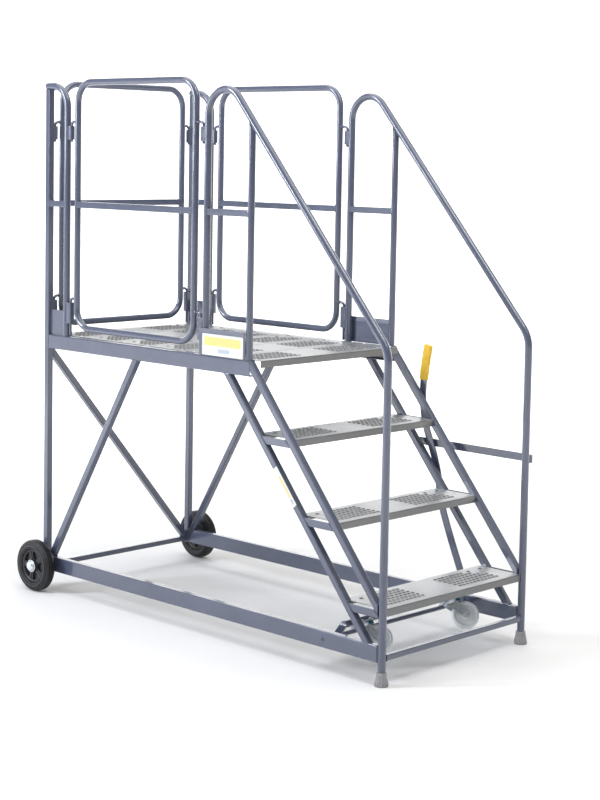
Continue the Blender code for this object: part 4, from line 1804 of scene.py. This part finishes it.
    def _front_toe_plate(self, side: Side) -> None:
        """Build the plate outside the front uprights, its top strip leaning outwards.

        Args:
            side: Which side it is on.
        """
        node = side.of("front_toe_plate")
        low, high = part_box(node)
        thick = high.y - low.y
        face = (low.y + high.y) / 2
        lean = side.value * self.lip_lean
        line = [Vector((face, low.z)), Vector((face, high.z - self.lip)), Vector((face + lean, high.z))]
        shape = Shape()
        outline = strip(rounded(line, 0.004, 4), thick)
        middle = Vector(((low.x + high.x) / 2, 0, 0))
        shape.slab(outline, middle, Y_AXIS, Z_AXIS, high.x - low.x, 0.0006)
        inside = face - side.value * (thick / 2)
        for x in (self.shop.datum.rear_x + self.rail_x, self.shop.datum.rear_x + self.post_x):
            for sign in (-1, 1):
                edge = x + sign * 0.0065
                if edge < high.x:
                    shape.upright_bead(edge, inside, low.z + 0.01, high.z - 0.03, 0.0018)
        self.shop.put(shape, side.of("kick_plate"), [node])

    def _label(self) -> None:
        """Put a plain panel on the near kick plate."""
        low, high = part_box("front_toe_plate_near")
        left = low.x + self.label_inset[0]
        right = high.x - self.label_inset[1]
        bottom = low.z + 0.0035
        top = high.z - self.lip - 0.0025
        middle = Vector(((left + right) / 2, low.y - self.label_sheet / 2, (bottom + top) / 2))
        shape = Shape()
        outline = rectangle(right - left, top - bottom, 0.003)
        shape.slab(outline, middle, X_AXIS, Z_AXIS, self.label_sheet, 0.0)
        half = (right - left) / 2
        vinyl = PlainLabel("panel_vinyl", middle, X_AXIS, half, Z_AXIS, (top - bottom) / 2)
        self.shop.put(shape, "plain_panel", finish=vinyl.build(), slot=Finish.ENAMEL.value)


@dataclass
class StringerStrip:
    """The narrow plain sticker on the near back stringer."""

    stair: Stair
    centre: float = 0.598
    length: float = 0.156
    wide: float = 0.0215
    sheet: float = 0.0004

    def build(self) -> None:
        """Stick the strip to the stringer's outer face."""
        y = Side.NEAR.value * self.stair.shop.datum.side_y
        middle = self.stair.on_line(self.stair.rear, self.centre, y - self.stair.section / 2 - self.sheet / 2)
        along = Vector((-1, 0, self.stair.slope)).normalized()
        across = Vector((self.stair.slope, 0, 1)).normalized()
        shape = Shape()
        shape.slab(rectangle(self.wide, self.length, 0.002), middle, across, along, self.sheet, 0.0)
        vinyl = PlainLabel(
            "strip_vinyl", middle, along, self.length / 2, across, self.wide / 2, margin=0.45,
            band_span=(-0.35, 0.35), chip_span=(-0.35, 0.35), chip_reach=(-0.86, -0.62)
        )
        self.stair.shop.put(shape, "plain_strip", finish=vinyl.build(), slot=Finish.ENAMEL.value)


# ---- gates
@dataclass
class Gate:
    """A lift-out gate: a tube loop with a mid rail and four hook pins."""

    shop: Workshop
    name: str
    along: Vector
    first: float
    last: float
    tube: float = 0.0125
    corner: float = 0.075
    bottom: float = 1.052
    top: float = 1.992
    mid_z: float = 1.526
    mid_rail: float = 0.024
    pin: float = 0.0055
    pin_bend: float = 0.015
    hooks: tuple[Flat, Flat] = ((1.842, 1.765), (1.163, 1.018))

    def build(self) -> None:
        """Build the gate as one piece."""
        low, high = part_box(self.name)
        middle = (low + high) / 2
        base = middle - self.along * middle.dot(self.along)
        base.z = 0
        spots = [base + self.along * self.first, base + self.along * self.last]
        pins = [
            base + self.along * (low.dot(self.along) + self.pin),
            base + self.along * (high.dot(self.along) - self.pin)
        ]
        corners = [
            spots[0] + Z_AXIS * self.bottom, spots[1] + Z_AXIS * self.bottom,
            spots[1] + Z_AXIS * self.top, spots[0] + Z_AXIS * self.top
        ]
        shape = Shape()
        shape.tube(rounded(corners, self.corner, 16, closed=True), self.tube, closed=True)
        self._mid(shape, spots)
        for spot, pin in zip(spots, pins):
            for level, end in self.hooks:
                self._hook(shape, spot, pin, level, end)
        self.shop.put(shape, f"{self.name}_loop", [self.name], body=self.name)

    def _mid(self, shape: Shape, spots: Sequence[Vector]) -> None:
        """Add the mid rail between the uprights, welded at both.

        Args:
            shape: The gate's piece.
            spots: The two uprights' places.
        """
        start = spots[0] + self.along * (self.tube * 0.5) + Z_AXIS * self.mid_z
        end = spots[1] - self.along * (self.tube * 0.5) + Z_AXIS * self.mid_z
        wide = self.mid_rail * 0.9
        shape.bar(start, end, wide, self.mid_rail, 0.003)
        for spot, run in ((spots[0], self.along), (spots[1], -self.along)):
            line = saddle(spot + Z_AXIS * self.mid_z, run, Z_AXIS, wide, self.mid_rail, self.tube)
            shape.bead(line, 0.0019, True)

    def _hook(self, shape: Shape, spot: Vector, pin: Vector, level: float, end: float) -> None:
        """Add one hook: out of the upright, over, and down into its socket.

        Args:
            shape: The gate's piece.
            spot: The upright's place.
            pin: The pin's place.
            level: The height where it leaves the upright.
            end: The height of the pin's tip.
        """
        outward = (pin - spot).normalized()
        start = spot + outward * (self.tube * 0.8) + Z_AXIS * level
        corners = [start, pin + Z_AXIS * level, pin + Z_AXIS * (end + 0.0018)]
        path = rounded(corners, self.pin_bend, 8)
        shape.tube(path, self.pin, sides=16)
        tip = [(self.pin, 0.0), (self.pin * 0.97, 0.0006), (self.pin * 0.72, 0.0018), (0, 0.0018)]
        shape.turned([(0, 0), *tip], path[-1], -Z_AXIS, 16)
        across = outward.cross(Z_AXIS)
        ring = []
        for a, b in circle(self.pin + 0.0007, 16):
            bulge = math.sqrt(self.tube**2 - a**2)
            ring.append(spot + across * a + Z_AXIS * (level + b) + outward * (bulge + 0.0002))
        shape.bead(ring, 0.0016, True)


# ---- wheels and feet
@dataclass
class RearWheel:
    """A rubber-tyred wheel on its stub axle, with a pressed dome over the nut."""

    shop: Workshop
    radius: float = 0.1
    half: float = 0.025
    rim: float = 0.0635
    groove: float = 0.0028
    grooves: tuple[float, ...] = (0.0085, 0.001, -0.0065)
    spokes: int = 5
    hub: float = 0.025
    bore: float = 0.0103
    axle: float = 0.01

    def build(self) -> None:
        """Build both wheels and both axles."""
        for side in Side:
            joint = self.shop.joints[f"rear_wheel_{side.label}_spin"]
            centre = Vector(joint["pos_m"])
            outward = Y_AXIS * side.value
            self._tyre(side, centre, outward)
            self._hub(side, centre, outward)
            self._axle(side, centre, outward)

    def _tyre(self, side: Side, centre: Vector, outward: Vector) -> None:
        """Build the ribbed tyre.

        Args:
            side: Which side it is on.
            centre: The wheel's centre.
            outward: The direction away from the stand.
        """
        half = self.half
        outer = self.radius
        wall = [
            (self.rim + 0.0003, half - 0.0095), (self.rim + 0.003, half - 0.006),
            (self.rim + 0.005, half - 0.002), (self.rim + 0.0074, half - 0.0014),
            (self.rim + 0.0082, half - 0.0034), (self.rim + 0.0096, half - 0.0034),
            (self.rim + 0.0104, half - 0.0006), (outer - 0.02, half), (outer - 0.0162, half - 0.0003),
            (outer - 0.0154, half - 0.003), (outer - 0.0136, half - 0.0032),
            (outer - 0.0128, half - 0.0012), (outer - 0.0098, half - 0.0022),
            (outer - 0.009, half - 0.0048), (outer - 0.0074, half - 0.0058),
            (outer - 0.0064, half - 0.0044), (outer - 0.0032, half - 0.0076),
            (outer - 0.001, half - 0.0112), (outer, half - 0.014)
        ]
        tread: list[Flat] = []
        cut = self.groove
        for height in self.grooves:
            tread += [
                (outer, height + cut * 0.65), (outer - cut, height + cut * 0.45),
                (outer - cut, height - cut * 0.45), (outer, height - cut * 0.65)
            ]
        profile = [*wall, *tread, *[(radius, -height) for radius, height in wall[::-1]]]
        shape = Shape()
        shape.turned(profile, centre, outward, 96, ring=True)
        node = side.of("tyre")
        self.shop.put(shape, side.of("wheel_tyre"), [node], Finish.RUBBER, side.of("rear_wheel"))

    def _hub(self, side: Side, centre: Vector, outward: Vector) -> None:
        """Build the moulded hub: rim ring, boss and five ribbed spokes.

        Args:
            side: Which side it is on.
            centre: The wheel's centre.
            outward: The direction away from the stand.
        """
        half = self.half
        inner = self.rim - 0.0075
        ring = [
            (self.rim, half - 0.01), (self.rim - 0.0008, half - 0.0085),
            (self.rim - 0.003, half - 0.0082), (inner + 0.0006, half - 0.011), (inner, half - 0.013)
        ]
        shape = Shape()
        shape.turned(mirrored(ring), centre, outward, 72, ring=True)
        boss = [
            (self.bore, half - 0.0036), (self.bore + 0.0008, half - 0.003),
            (self.hub - 0.0014, half - 0.003), (self.hub, half - 0.0048), (self.hub + 0.0012, 0.006)
        ]
        shape.turned(mirrored(boss), centre, outward, 56, ring=True)
        for index in range(self.spokes):
            turn = Matrix.Rotation(2 * math.pi * index / self.spokes + math.radians(36), 3, outward)
            run = turn @ X_AXIS
            across = outward.cross(run)
            start = self.hub - 0.0006
            end = inner + 0.0012
            outline = [
                (start, -0.0118), (start + 0.007, -0.0088), (end - 0.008, -0.0098),
                (end - 0.001, -0.016), (end - 0.001, 0.016), (end - 0.008, 0.0098),
                (start + 0.007, 0.0088), (start, 0.0118)
            ]
            shape.slab(outline, centre, run, across, 0.023, 0.0016)
            rib = [(start, -0.0024), (end - 0.001, -0.0024), (end - 0.001, 0.0024), (start, 0.0024)]
            shape.slab(rib, centre, run, across, 0.028, 0.0009)
        web = [(self.hub + 0.0005, 0.0016), (inner + 0.001, 0.0016)]
        shape.turned(mirrored(web), centre, outward, 56, ring=True)
        node = side.of("wheel_hub")
        self.shop.put(shape, side.of("wheel_centre"), [node], Finish.HUB, side.of("rear_wheel"))

    def _axle(self, side: Side, centre: Vector, outward: Vector) -> None:
        """Build the stub axle, its spacer washer and the domed cap.

        Args:
            side: Which side it is on.
            centre: The wheel's centre.
            outward: The direction away from the stand.
        """
        node = side.of("wheel_axle")
        low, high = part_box(node)
        inner = low.y if side is Side.FAR else high.y
        rail_face = (inner - centre.y) * side.value
        face = self.half - 0.0018
        cap = self.hub - 0.0012
        shape = Shape()
        dome = []
        rise = 0.0135
        for step in range(9):
            turn = math.radians(90 - step * 11.25)
            dome.append((cap * 0.86 * math.cos(turn), face + 0.0012 + rise * math.sin(turn)))
        brim = [(cap * 0.93, face + 0.001), (cap, face + 0.0005), (cap, face - 0.0003)]
        shape.turned([*dome, *brim, (self.axle, face - 0.0003), (0, face - 0.0003)], centre, outward, 48)
        stub = [
            (0, face - 0.0002), (self.axle, face - 0.0002), (self.axle, -self.half + 0.0028),
            (self.axle + 0.0068, -self.half + 0.0024), (self.axle + 0.0072, -self.half + 0.0012),
            (self.axle + 0.0068, -self.half + 0.0002), (self.axle + 0.002, -self.half),
            (self.axle + 0.002, rail_face + 0.005), (self.axle + 0.0048, rail_face + 0.004),
            (self.axle + 0.0052, rail_face), (0, rail_face)
        ]
        shape.turned(stub, centre, outward, 40)
        self.shop.put(shape, side.of("axle_and_cap"), [node], Finish.ZINC)


@dataclass
class Ferrule:
    """The ribbed plastic foot that a front leg stands in."""

    shop: Workshop
    ribs: int = 16
    rib_rise: float = 0.0007

    def build(self) -> None:
        """Build both feet."""
        for side in Side:
            node = side.of("foot")
            low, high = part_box(node)
            centre = Vector(((low.x + high.x) / 2, (low.y + high.y) / 2, low.z))
            self._foot(node, side, centre, high.z - low.z, (high.x - low.x) / 2)

    def _foot(self, node: str, side: Side, centre: Vector, tall: float, wide: float) -> None:
        """Build one ferrule with a rolled collar, a flared skirt and fluted sides.

        Args:
            node: The CAD node.
            side: Which side it is on.
            centre: The middle of its underside.
            tall: Its height.
            wide: Its greatest radius.
        """
        neck = 0.0172
        mouth = Guards.tube + 0.0003
        skirt = [
            (wide * 0.955, 0.0, 0.0), (wide * 0.985, 0.0008, 0.0), (wide, 0.0024, 0.0),
            (wide, 0.0062, 0.0), (wide * 0.975, 0.008, 0.6), (wide * 0.945, 0.013, 1.0),
            (wide * 0.885, 0.019, 1.0), (wide * 0.82, 0.025, 1.0), (wide * 0.775, 0.031, 0.8),
            (wide * 0.757, 0.0345, 0.0), (neck + 0.0011, 0.036, 0.0), (neck + 0.0014, 0.0375, 0.0),
            (neck + 0.0011, 0.039, 0.0), (neck, 0.0402, 0.0), (neck, tall - 0.0012, 0.0),
            (neck - 0.001, tall, 0.0), (mouth, tall, 0.0), (mouth, 0.0079, 0.0)
        ]
        steps = self.ribs * 6
        rings: list[list[Vector]] = [[centre.copy()]]
        for radius, height, fluted in skirt:
            ring = []
            for index in range(steps):
                turn = 2 * math.pi * index / steps
                flute = self.rib_rise * fluted * math.cos(self.ribs * turn)
                reach = radius + flute
                place = (reach * math.cos(turn), reach * math.sin(turn), height)
                ring.append(centre + Vector(place))
            rings.append(ring)
        rings.append([centre + Z_AXIS * 0.0079])
        shape = Shape()
        shape.skin(rings)
        self.shop.put(shape, side.of("leg_ferrule"), [node], Finish.FERRULE)


# ---- castor lift
@dataclass
class CastorLift:
    """The lifting frame, its lever, the lever's guide and two swivel castors.

    Sizes lie in the lowered frame; the frame is drawn lifted by its full angle.
    """

    shop: Workshop
    shaft: float = 0.008
    bar: float = 0.02
    bar_x: float = 0.05
    bar_z: float = 0.017
    arm_y: float = 0.325
    arm_thick: float = 0.008
    plate: tuple[float, float, float] = (0.07, 0.06, 0.004)
    castor_y: float = 0.235
    wheel: float = 0.05
    wheel_wide: float = 0.03
    lever_y: float = 0.399
    lever_thick: float = 0.006
    lever_wide: float = 0.028
    lever_line: tuple[Flat, ...] = (
        (0.008, -0.018), (-0.131, 0.304), (-0.165, 0.454), (-0.193, 0.539), (-0.222, 0.609),
        (-0.238, 0.669), (-0.245, 0.729), (-0.243, 0.794), (-0.236, 0.854), (-0.225, 0.919)
    )
    guide_end: float = 0.0085
    seal_deep: Colour = (0.012, 0.12, 0.165)
    seal_light: Colour = (0.02, 0.17, 0.225)

    def build(self) -> None:
        """Build every piece that lifts, and the guide on the frame."""
        angle = math.radians(self.shop.joints["castor_lift_swing"]["range_deg"][1])
        turn = Matrix.Rotation(-angle, 3, Y_AXIS)
        self.run = turn @ X_AXIS
        self.rise = turn @ Z_AXIS
        self._frame()
        self._lever()
        self._guide()
        guard = Moulding(
            "thread_guard", self.seal_deep, self.seal_light, (0.05, 0.08, 0.09), 0.32
        ).build()
        for side in Side:
            self._top_plate(side)
            self._fork(side, guard)
            self._roller(side)

    def _at(self, x: float, y: float, z: float) -> Vector:
        """Return the world point of a place in the lifting frame."""
        pivot = self.shop.datum.pivot
        return Vector((pivot.x, y, pivot.z)) + self.run * x + self.rise * z

    def _frame(self) -> None:
        """Build the cross shaft, its collars, the two arms and the castor bar."""
        low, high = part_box("lift_frame")
        rail = self.shop.datum.side_y
        shape = Shape()
        inset = 0.0012
        span = high.y - low.y
        start = self._at(0, low.y, 0)
        shape.turned(
            [
                (0, 0), (self.shaft - inset, 0), (self.shaft, inset), (self.shaft, span - inset),
                (self.shaft - inset, span), (0, span)
            ],
            start, Y_AXIS, 28
        )
        for side in Side:
            inside = side.value * (rail - 0.0125 - 0.0006)
            collar = self._at(0, inside, 0)
            profile = [
                (self.shaft, 0.0), (0.0135, 0.0), (0.0145, 0.001), (0.0145, 0.008), (0.0135, 0.009),
                (self.shaft, 0.009)
            ]
            shape.turned(profile, collar, -Y_AXIS * side.value, 32, ring=True)
            arm_line = [Vector((-0.012, -0.004)), Vector((self.bar_x + 0.008, self.bar_z))]
            outline = self._round_ended(arm_line, 0.024)
            place = self._at(0, side.value * (self.arm_y - 0.002), 0)
            shape.slab(outline, place, self.run, self.rise, self.arm_thick, 0.001)
            boss = self._at(0, side.value * (self.arm_y - 0.012), 0)
            shape.turned(
                [(self.shaft, 0), (0.0125, 0), (0.0125, 0.02), (self.shaft, 0.02)], boss,
                Y_AXIS * side.value, 28, ring=True
            )
        left = self._at(self.bar_x, -self.arm_y, self.bar_z)
        right = self._at(self.bar_x, self.arm_y, self.bar_z)
        shape.bar(left, right, self.bar, self.bar, 0.0028, self.rise)
        for side in Side:
            inner = self._at(self.bar_x, side.value * (self.arm_y - 0.0062), self.bar_z)
            across = self.run
            ring = [
                inner + across * a + self.rise * b for a, b in rectangle(self.bar, self.bar, 0.002, 2)
            ]
            shape.bead(ring, 0.0018, True)
        self.shop.put(shape, "lifting_frame", ["lift_frame"], body="castor_lift")

    @staticmethod
    def _round_ended(line: Sequence[Vector], width: float, steps: int = 10) -> list[Vector]:
        """Return the outline of a straight strap with round ends.

        Args:
            line: The strap's two end points.
            width: Its width.
            steps: Segments in each round end.

        Returns:
            The outline's points.
        """
        start, end = line
        run = (end - start).normalized()
        side = Vector((-run.y, run.x))
        outline = []
        for centre, first in ((end, -90), (start, 90)):
            for step in range(steps + 1):
                turn = math.radians(first + 180 * step / steps)
                arm = run * math.cos(turn) + side * math.sin(turn)
                outline.append(centre + arm * (width / 2))
        return outline

    def _lever(self) -> None:
        """Build the bent flat lever and its moulded grip."""
        pivot = self.shop.datum.pivot
        path = smooth_path([Vector((pivot.x + x, pivot.z + z)) for x, z in self.lever_line], 7)
        shape = Shape()
        origin = Vector((0, self.lever_y, 0))
        shape.slab(strip(path, self.lever_wide), origin, X_AXIS, Z_AXIS, self.lever_thick, 0.0012)
        face = self.lever_y + self.lever_thick / 2
        shape.bolt(Vector((pivot.x, face, pivot.z)), Y_AXIS, 0.017, 0.0075)
        self.shop.put(shape, "lifting_lever", ["lift_lever"], body="castor_lift")
        low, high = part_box("lever_grip")
        grip_path = [place for place in path if place.y > low.z - 0.001]
        tip = grip_path[-1] + (grip_path[-1] - grip_path[-2]).normalized() * 0.008
        line = spaced([*grip_path, tip], 0.004, False)
        thick = high.y - low.y
        grip = Shape()
        rings = []
        count = len(line)
        for index, place in enumerate(line):
            back = line[max(index - 1, 0)]
            ahead = line[min(index + 1, count - 1)]
            run = (ahead - back).normalized()
            side = Vector((run.y, -run.x))
            share = index / (count - 1)
            end = min(1.0, 0.8 + 6 * share, 0.74 + 9 * (1 - share))
            wave = 1.0 + 0.035 * math.cos(share * 2 * math.pi * 4)
            section = rectangle(
                (self.lever_wide + 0.009) * end * wave, thick * (0.6 + 0.4 * end), 0.0052, 5
            )
            ring = []
            for a, b in section:
                flat = place + side * a
                ring.append(Vector((flat.x, self.lever_y + b, flat.y)))
            rings.append(ring)
        grip.skin(rings)
        self.shop.put(grip, "lever_handle", ["lever_grip"], Finish.GRIP, "castor_lift")

    def _guide(self) -> None:
        """Build the strip that the lever runs in, with its fixing bolt."""
        low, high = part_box("lever_guide")
        sheet = 0.003
        face = low.y + sheet / 2
        run = high.y - sheet / 2
        stringer_end = low.x
        back_bend = self.shop.datum.rear_x + 1.244
        front = self.shop.datum.front_x + self.guide_end
        leg = self.shop.datum.front_x
        corners = [
            (stringer_end, face), (back_bend, face), (back_bend, run), (front, run),
            (front, face + 0.0015), (leg - 0.004, face + 0.0015)
        ]
        bend = (run - face) * 0.42
        path = rounded(corners, [0, bend, bend, bend, bend, 0], 8)
        middle = Vector((0, 0, (low.z + high.z) / 2))
        shape = Shape()
        shape.slab(strip(path, sheet), middle, X_AXIS, Y_AXIS, high.z - low.z, 0.0007)
        slot_face = run + sheet / 2
        notch = Vector((back_bend + 0.035, slot_face, middle.z))
        shape.bolt(notch - Y_AXIS * 0.0002, Y_AXIS, 0.011, 0.005)
        self.shop.put(shape, "lever_guide_strip", ["lever_guide"])

    def _top_plate(self, side: Side) -> None:
        """Build one castor's top plate with its four bolts through the bar.

        Args:
            side: Which side it is on.
        """
        node = side.of("castor_plate")
        long, wide, thick = self.plate
        top = self.bar_z - self.bar / 2 - 0.0003
        y = side.value * self.castor_y
        middle = self._at(self.bar_x, y, top - thick / 2)
        shape = Shape()
        shape.slab(rectangle(long, wide, 0.007, 5), middle, self.run, Y_AXIS, thick, 0.0006)
        for a in (-0.0255, 0.0255):
            for b in (-0.0205, 0.0205):
                shape.bolt(middle + self.run * a + Y_AXIS * b + self.rise * (thick / 2), self.rise, 0.01)
        self.shop.put(shape, side.of("castor_top_plate"), [node], Finish.ZINC, "castor_lift")

    def _castor_axes(self, side: Side) -> tuple[Vector, Vector, Vector, Vector, float]:
        """Return a castor's head, trail, roll and swivel directions, and its drop.

        Args:
            side: Which side it is on.

        Returns:
            The head, trail, roll axis, swivel axis and drop.
        """
        swivel = self.shop.joints[f"castor_{side.label}_swivel"]
        roll = self.shop.joints[f"castor_{side.label}_roll"]
        up = Vector(swivel["axis"]).normalized()
        across = Vector(roll["axis"]).normalized()
        trail = across.cross(up).normalized()
        base = Vector(swivel["pos_m"])
        head = self._at(self.bar_x, base.y, self.bar_z - self.bar / 2 - self.plate[2] - 0.0006)
        drop = (Vector(roll["pos_m"]) - head).dot(up)
        return head, trail, across, up, drop

    def _fork(self, side: Side, guard: Material) -> None:
        """Build one swivel fork: ball race, pressed crown, tapered legs and axle bolt.

        Args:
            side: Which side it is on.
            guard: The thread guard's material.
        """
        head, trail, across, up, drop = self._castor_axes(side)
        offset = (Vector(self.shop.joints[f"castor_{side.label}_roll"]["pos_m"]) - head).dot(trail)
        shape = Shape()
        race = [
            (0, -0.0002), (0.022, -0.0002), (0.024, -0.0008), (0.0252, -0.0026), (0.0246, -0.0042),
            (0.0252, -0.0056), (0.0262, -0.0076), (0.0256, -0.0098), (0.0232, -0.0122), (0, -0.013)
        ]
        shape.turned(race, head, up, 48)
        outer = self.wheel_wide / 2 + 0.004
        crown = rectangle(0.046, 2 * outer, 0.006, 5)
        shape.slab(crown, head + up * -0.014 + trail * 0.002, trail, across, 0.0042, 0.0012)
        inner = self.wheel_wide / 2 + 0.0015
        for sign in (-1, 1):
            leg = self._leg_outline(offset, drop)
            middle = head + across * (sign * (inner + outer) / 2)
            shape.slab(leg, middle, trail, up, outer - inner, 0.0007)
            end = head + trail * offset + up * drop + across * (sign * outer)
            shape.bolt(end, across * sign, 0.0125, 0.0058)
        tie = head + trail * offset + up * drop - across * outer
        shape.turned([(0, 0), (0.0048, 0), (0.0048, 2 * outer), (0, 2 * outer)], tie, across, 20)
        body = side.of("castor_swivel")
        node = side.of("castor_fork")
        self.shop.put(shape, side.of("castor_yoke"), [node], Finish.ZINC, body)
        block = Shape()
        section = rectangle(0.0125, 0.03, 0.003, 4)
        start = head + trail * 0.0215 - up * 0.0078
        block.sweep(
            [(b, a) for a, b in section],
            [start, start + trail * 0.003, start + trail * 0.0145, start + trail * 0.0165], up,
            swell=lambda index: (0.86, 1.0, 0.97, 0.84)[index]
        )
        self.shop.put(block, side.of("castor_guard"), finish=guard, body=body, slot=Finish.NYLON.value)

    @staticmethod
    def _leg_outline(offset: float, drop: float) -> list[Vector]:
        """Return a fork leg's outline: wide at the crown, round at the axle.

        Args:
            offset: How far the axle trails.
            drop: The axle's height from the head.

        Returns:
            The outline's points.
        """
        round_r = 0.0125
        outline = [Vector((-0.0195, -0.0135))]
        for step in range(11):
            turn = math.radians(200 + 140 * step / 10)
            outline.append(Vector((offset + round_r * math.cos(turn), drop + round_r * math.sin(turn))))
        outline.append(Vector((0.0245, -0.0135)))
        return outline

    def _roller(self, side: Side) -> None:
        """Build one nylon castor wheel with a recessed web and a bearing boss.

        Args:
            side: Which side it is on.
        """
        joint = self.shop.joints[f"castor_{side.label}_roll"]
        half = self.wheel_wide / 2
        face = [
            (0.0065, half - 0.0002), (0.0085, half), (0.014, half), (0.0155, half - 0.0012),
            (0.0175, half - 0.0036), (0.02, half - 0.0042), (0.035, half - 0.0042),
            (0.038, half - 0.0034), (0.0396, half - 0.0014), (0.0412, half - 0.0006),
            (self.wheel - 0.0056, half - 0.001), (self.wheel - 0.0026, half - 0.0026),
            (self.wheel - 0.0008, half - 0.0056), (self.wheel, half - 0.0094)
        ]
        shape = Shape()
        shape.turned(mirrored(face), Vector(joint["pos_m"]), Vector(joint["axis"]), 72, ring=True)
        node = side.of("castor_wheel")
        self.shop.put(
            shape, side.of("castor_tread_wheel"), [node], Finish.NYLON, side.of("castor_roller")
        )


# ---- studio
@dataclass
class Studio:
    """Pale floor, soft lights and the camera."""

    eye: tuple[float, float, float] = (4.65, -4.65, 1.736)
    azimuth: float = 44.03
    down: float = 4.74
    roll: float = 1.01
    lens: float = 79.42
    shift: float = -0.125
    floor_reach: float = 30.0
    sky: float = 0.24
    backdrop_far: float = 15.0
    backdrop_high: float = 9.0
    backdrop_turn: float = 135.0

    def build(self) -> None:
        """Set up the floor, the backdrop, the lights and the camera."""
        self._floor()
        self._backdrop()
        self._world()
        self._softbox("key_softbox", (-3.4, -5.2, 3.2), (0.0, -0.3, 1.0), 1.0, 3.4, 330, (0.86, 0.91, 1.0))
        self._softbox("overhead_softbox", (0.0, 0.0, 6.5), (0.0, 0.0, 0.0), 8.0, 8.0, 400)
        self._softbox("top_strip", (3.6, -0.4, 5.2), (0.3, 0.0, 0.9), 0.7, 3.0, 90)
        self._camera()

    def _backdrop(self) -> None:
        """Stand a curved, softly lit backdrop behind the object."""
        turns = [math.radians(self.backdrop_turn + step * 5) for step in range(-15, 16)]
        bm = bmesh.new()
        rows = []
        for height in (-0.5, self.backdrop_high):
            reach = self.backdrop_far
            ring = [(reach * math.cos(turn), reach * math.sin(turn), height) for turn in turns]
            rows.append([bm.verts.new(place) for place in ring])
        for first, second in zip(zip(*rows), list(zip(*rows))[1:]):
            bm.faces.new([first[0], second[0], second[1], first[1]])
        mesh = bpy.data.meshes.new("studio_backdrop")
        bm.to_mesh(mesh)
        bm.free()
        bench = Bench("backdrop_cloth")
        cloud = bench.noise(0.4, 2)
        white = bench.mix(cloud, (0.97, 0.97, 0.97), (1.0, 1.0, 1.0))
        cloth = bench.dress(
            Base_Color=(0.8, 0.8, 0.8, 1), Emission_Color=white, Emission_Strength=1.0, Roughness=1.0
        )
        mesh.materials.append(cloth)
        screen = bpy.data.objects.new("studio_backdrop", mesh)
        bpy.context.scene.collection.objects.link(screen)

    def _floor(self) -> None:
        """Lay a large, slightly cloudy floor."""
        bm = bmesh.new()
        bmesh.ops.create_grid(bm, x_segments=8, y_segments=8, size=self.floor_reach)
        mesh = bpy.data.meshes.new("studio_floor")
        bm.to_mesh(mesh)
        bm.free()
        mesh.materials.append(StudioFloor().build())
        floor = bpy.data.objects.new("studio_floor", mesh)
        bpy.context.scene.collection.objects.link(floor)

    def _world(self) -> None:
        """Fill the room with even, nearly white light."""
        world = bpy.data.worlds.new("studio_air")
        world.use_nodes = True
        background = world.node_tree.nodes["Background"]
        background.inputs["Color"].default_value = (1.0, 0.965, 0.92, 1.0)
        background.inputs["Strength"].default_value = self.sky
        scene = bpy.context.scene
        scene.world = world
        scene.view_settings.view_transform = "Standard"
        scene.view_settings.look = "None"

    @staticmethod
    def _softbox(
        name: str, place: Sequence[float], aim: Sequence[float], wide: float, tall: float, watts: float,
        tint: Colour = (1.0, 1.0, 1.0)
    ) -> None:
        """Hang a rectangular softbox that points at a place.

        Args:
            name: The light's name.
            place: Where it hangs.
            aim: Where it points.
            wide: Its width.
            tall: Its height.
            watts: Its power.
            tint: Its colour.
        """
        lamp = bpy.data.lights.new(name, "AREA")
        lamp.shape = "RECTANGLE"
        lamp.size = wide
        lamp.size_y = tall
        lamp.energy = watts
        lamp.color = tint
        holder = bpy.data.objects.new(name, lamp)
        holder.location = place
        aim_run = Vector(aim) - Vector(place)
        holder.rotation_euler = aim_run.to_track_quat("-Z", "Y").to_euler()
        bpy.context.scene.collection.objects.link(holder)

    def _camera(self) -> None:
        """Set the camera up at its azimuth, tilt and roll."""
        turn = math.radians(self.azimuth)
        tilt = math.radians(self.down)
        back = Vector(
            (math.sin(turn) * math.cos(tilt), -math.cos(turn) * math.cos(tilt), math.sin(tilt))
        )
        right = (-back).cross(Z_AXIS).normalized()
        up = back.cross(right)
        roll = math.radians(self.roll)
        across = right * math.cos(roll) + up * math.sin(roll)
        upward = up * math.cos(roll) - right * math.sin(roll)
        pose = Matrix((across, upward, back)).transposed().to_4x4()
        pose.translation = Vector(self.eye)
        data = bpy.data.cameras.new("studio_camera")
        data.lens = self.lens
        data.shift_y = self.shift
        data.clip_end = 200
        camera = bpy.data.objects.new("studio_camera", data)
        camera.matrix_world = pose
        bpy.context.scene.collection.objects.link(camera)
        bpy.context.scene.camera = camera


def main() -> None:
    """Load the frame and build every sub-assembly."""
    logging.basicConfig(level=logging.INFO, format="%(message)s")
    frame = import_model()
    Studio().build()
    shop = Workshop(frame["joints"])
    stair = Stair(shop)
    rear_x = shop.datum.rear_x
    BaseFrame(shop).build()
    Platform(shop).build()
    stair.build()
    Guards(shop).build()
    StringerStrip(stair).build()
    for side in Side:
        Gate(shop, side.of("side_gate"), X_AXIS, rear_x + 0.174, rear_x + 0.84).build()
    Gate(shop, "rear_gate", Y_AXIS, -0.315, 0.315).build()
    RearWheel(shop).build()
    Ferrule(shop).build()
    CastorLift(shop).build()
    bpy.context.view_layer.update()


if __name__ == "__main__":
    main()
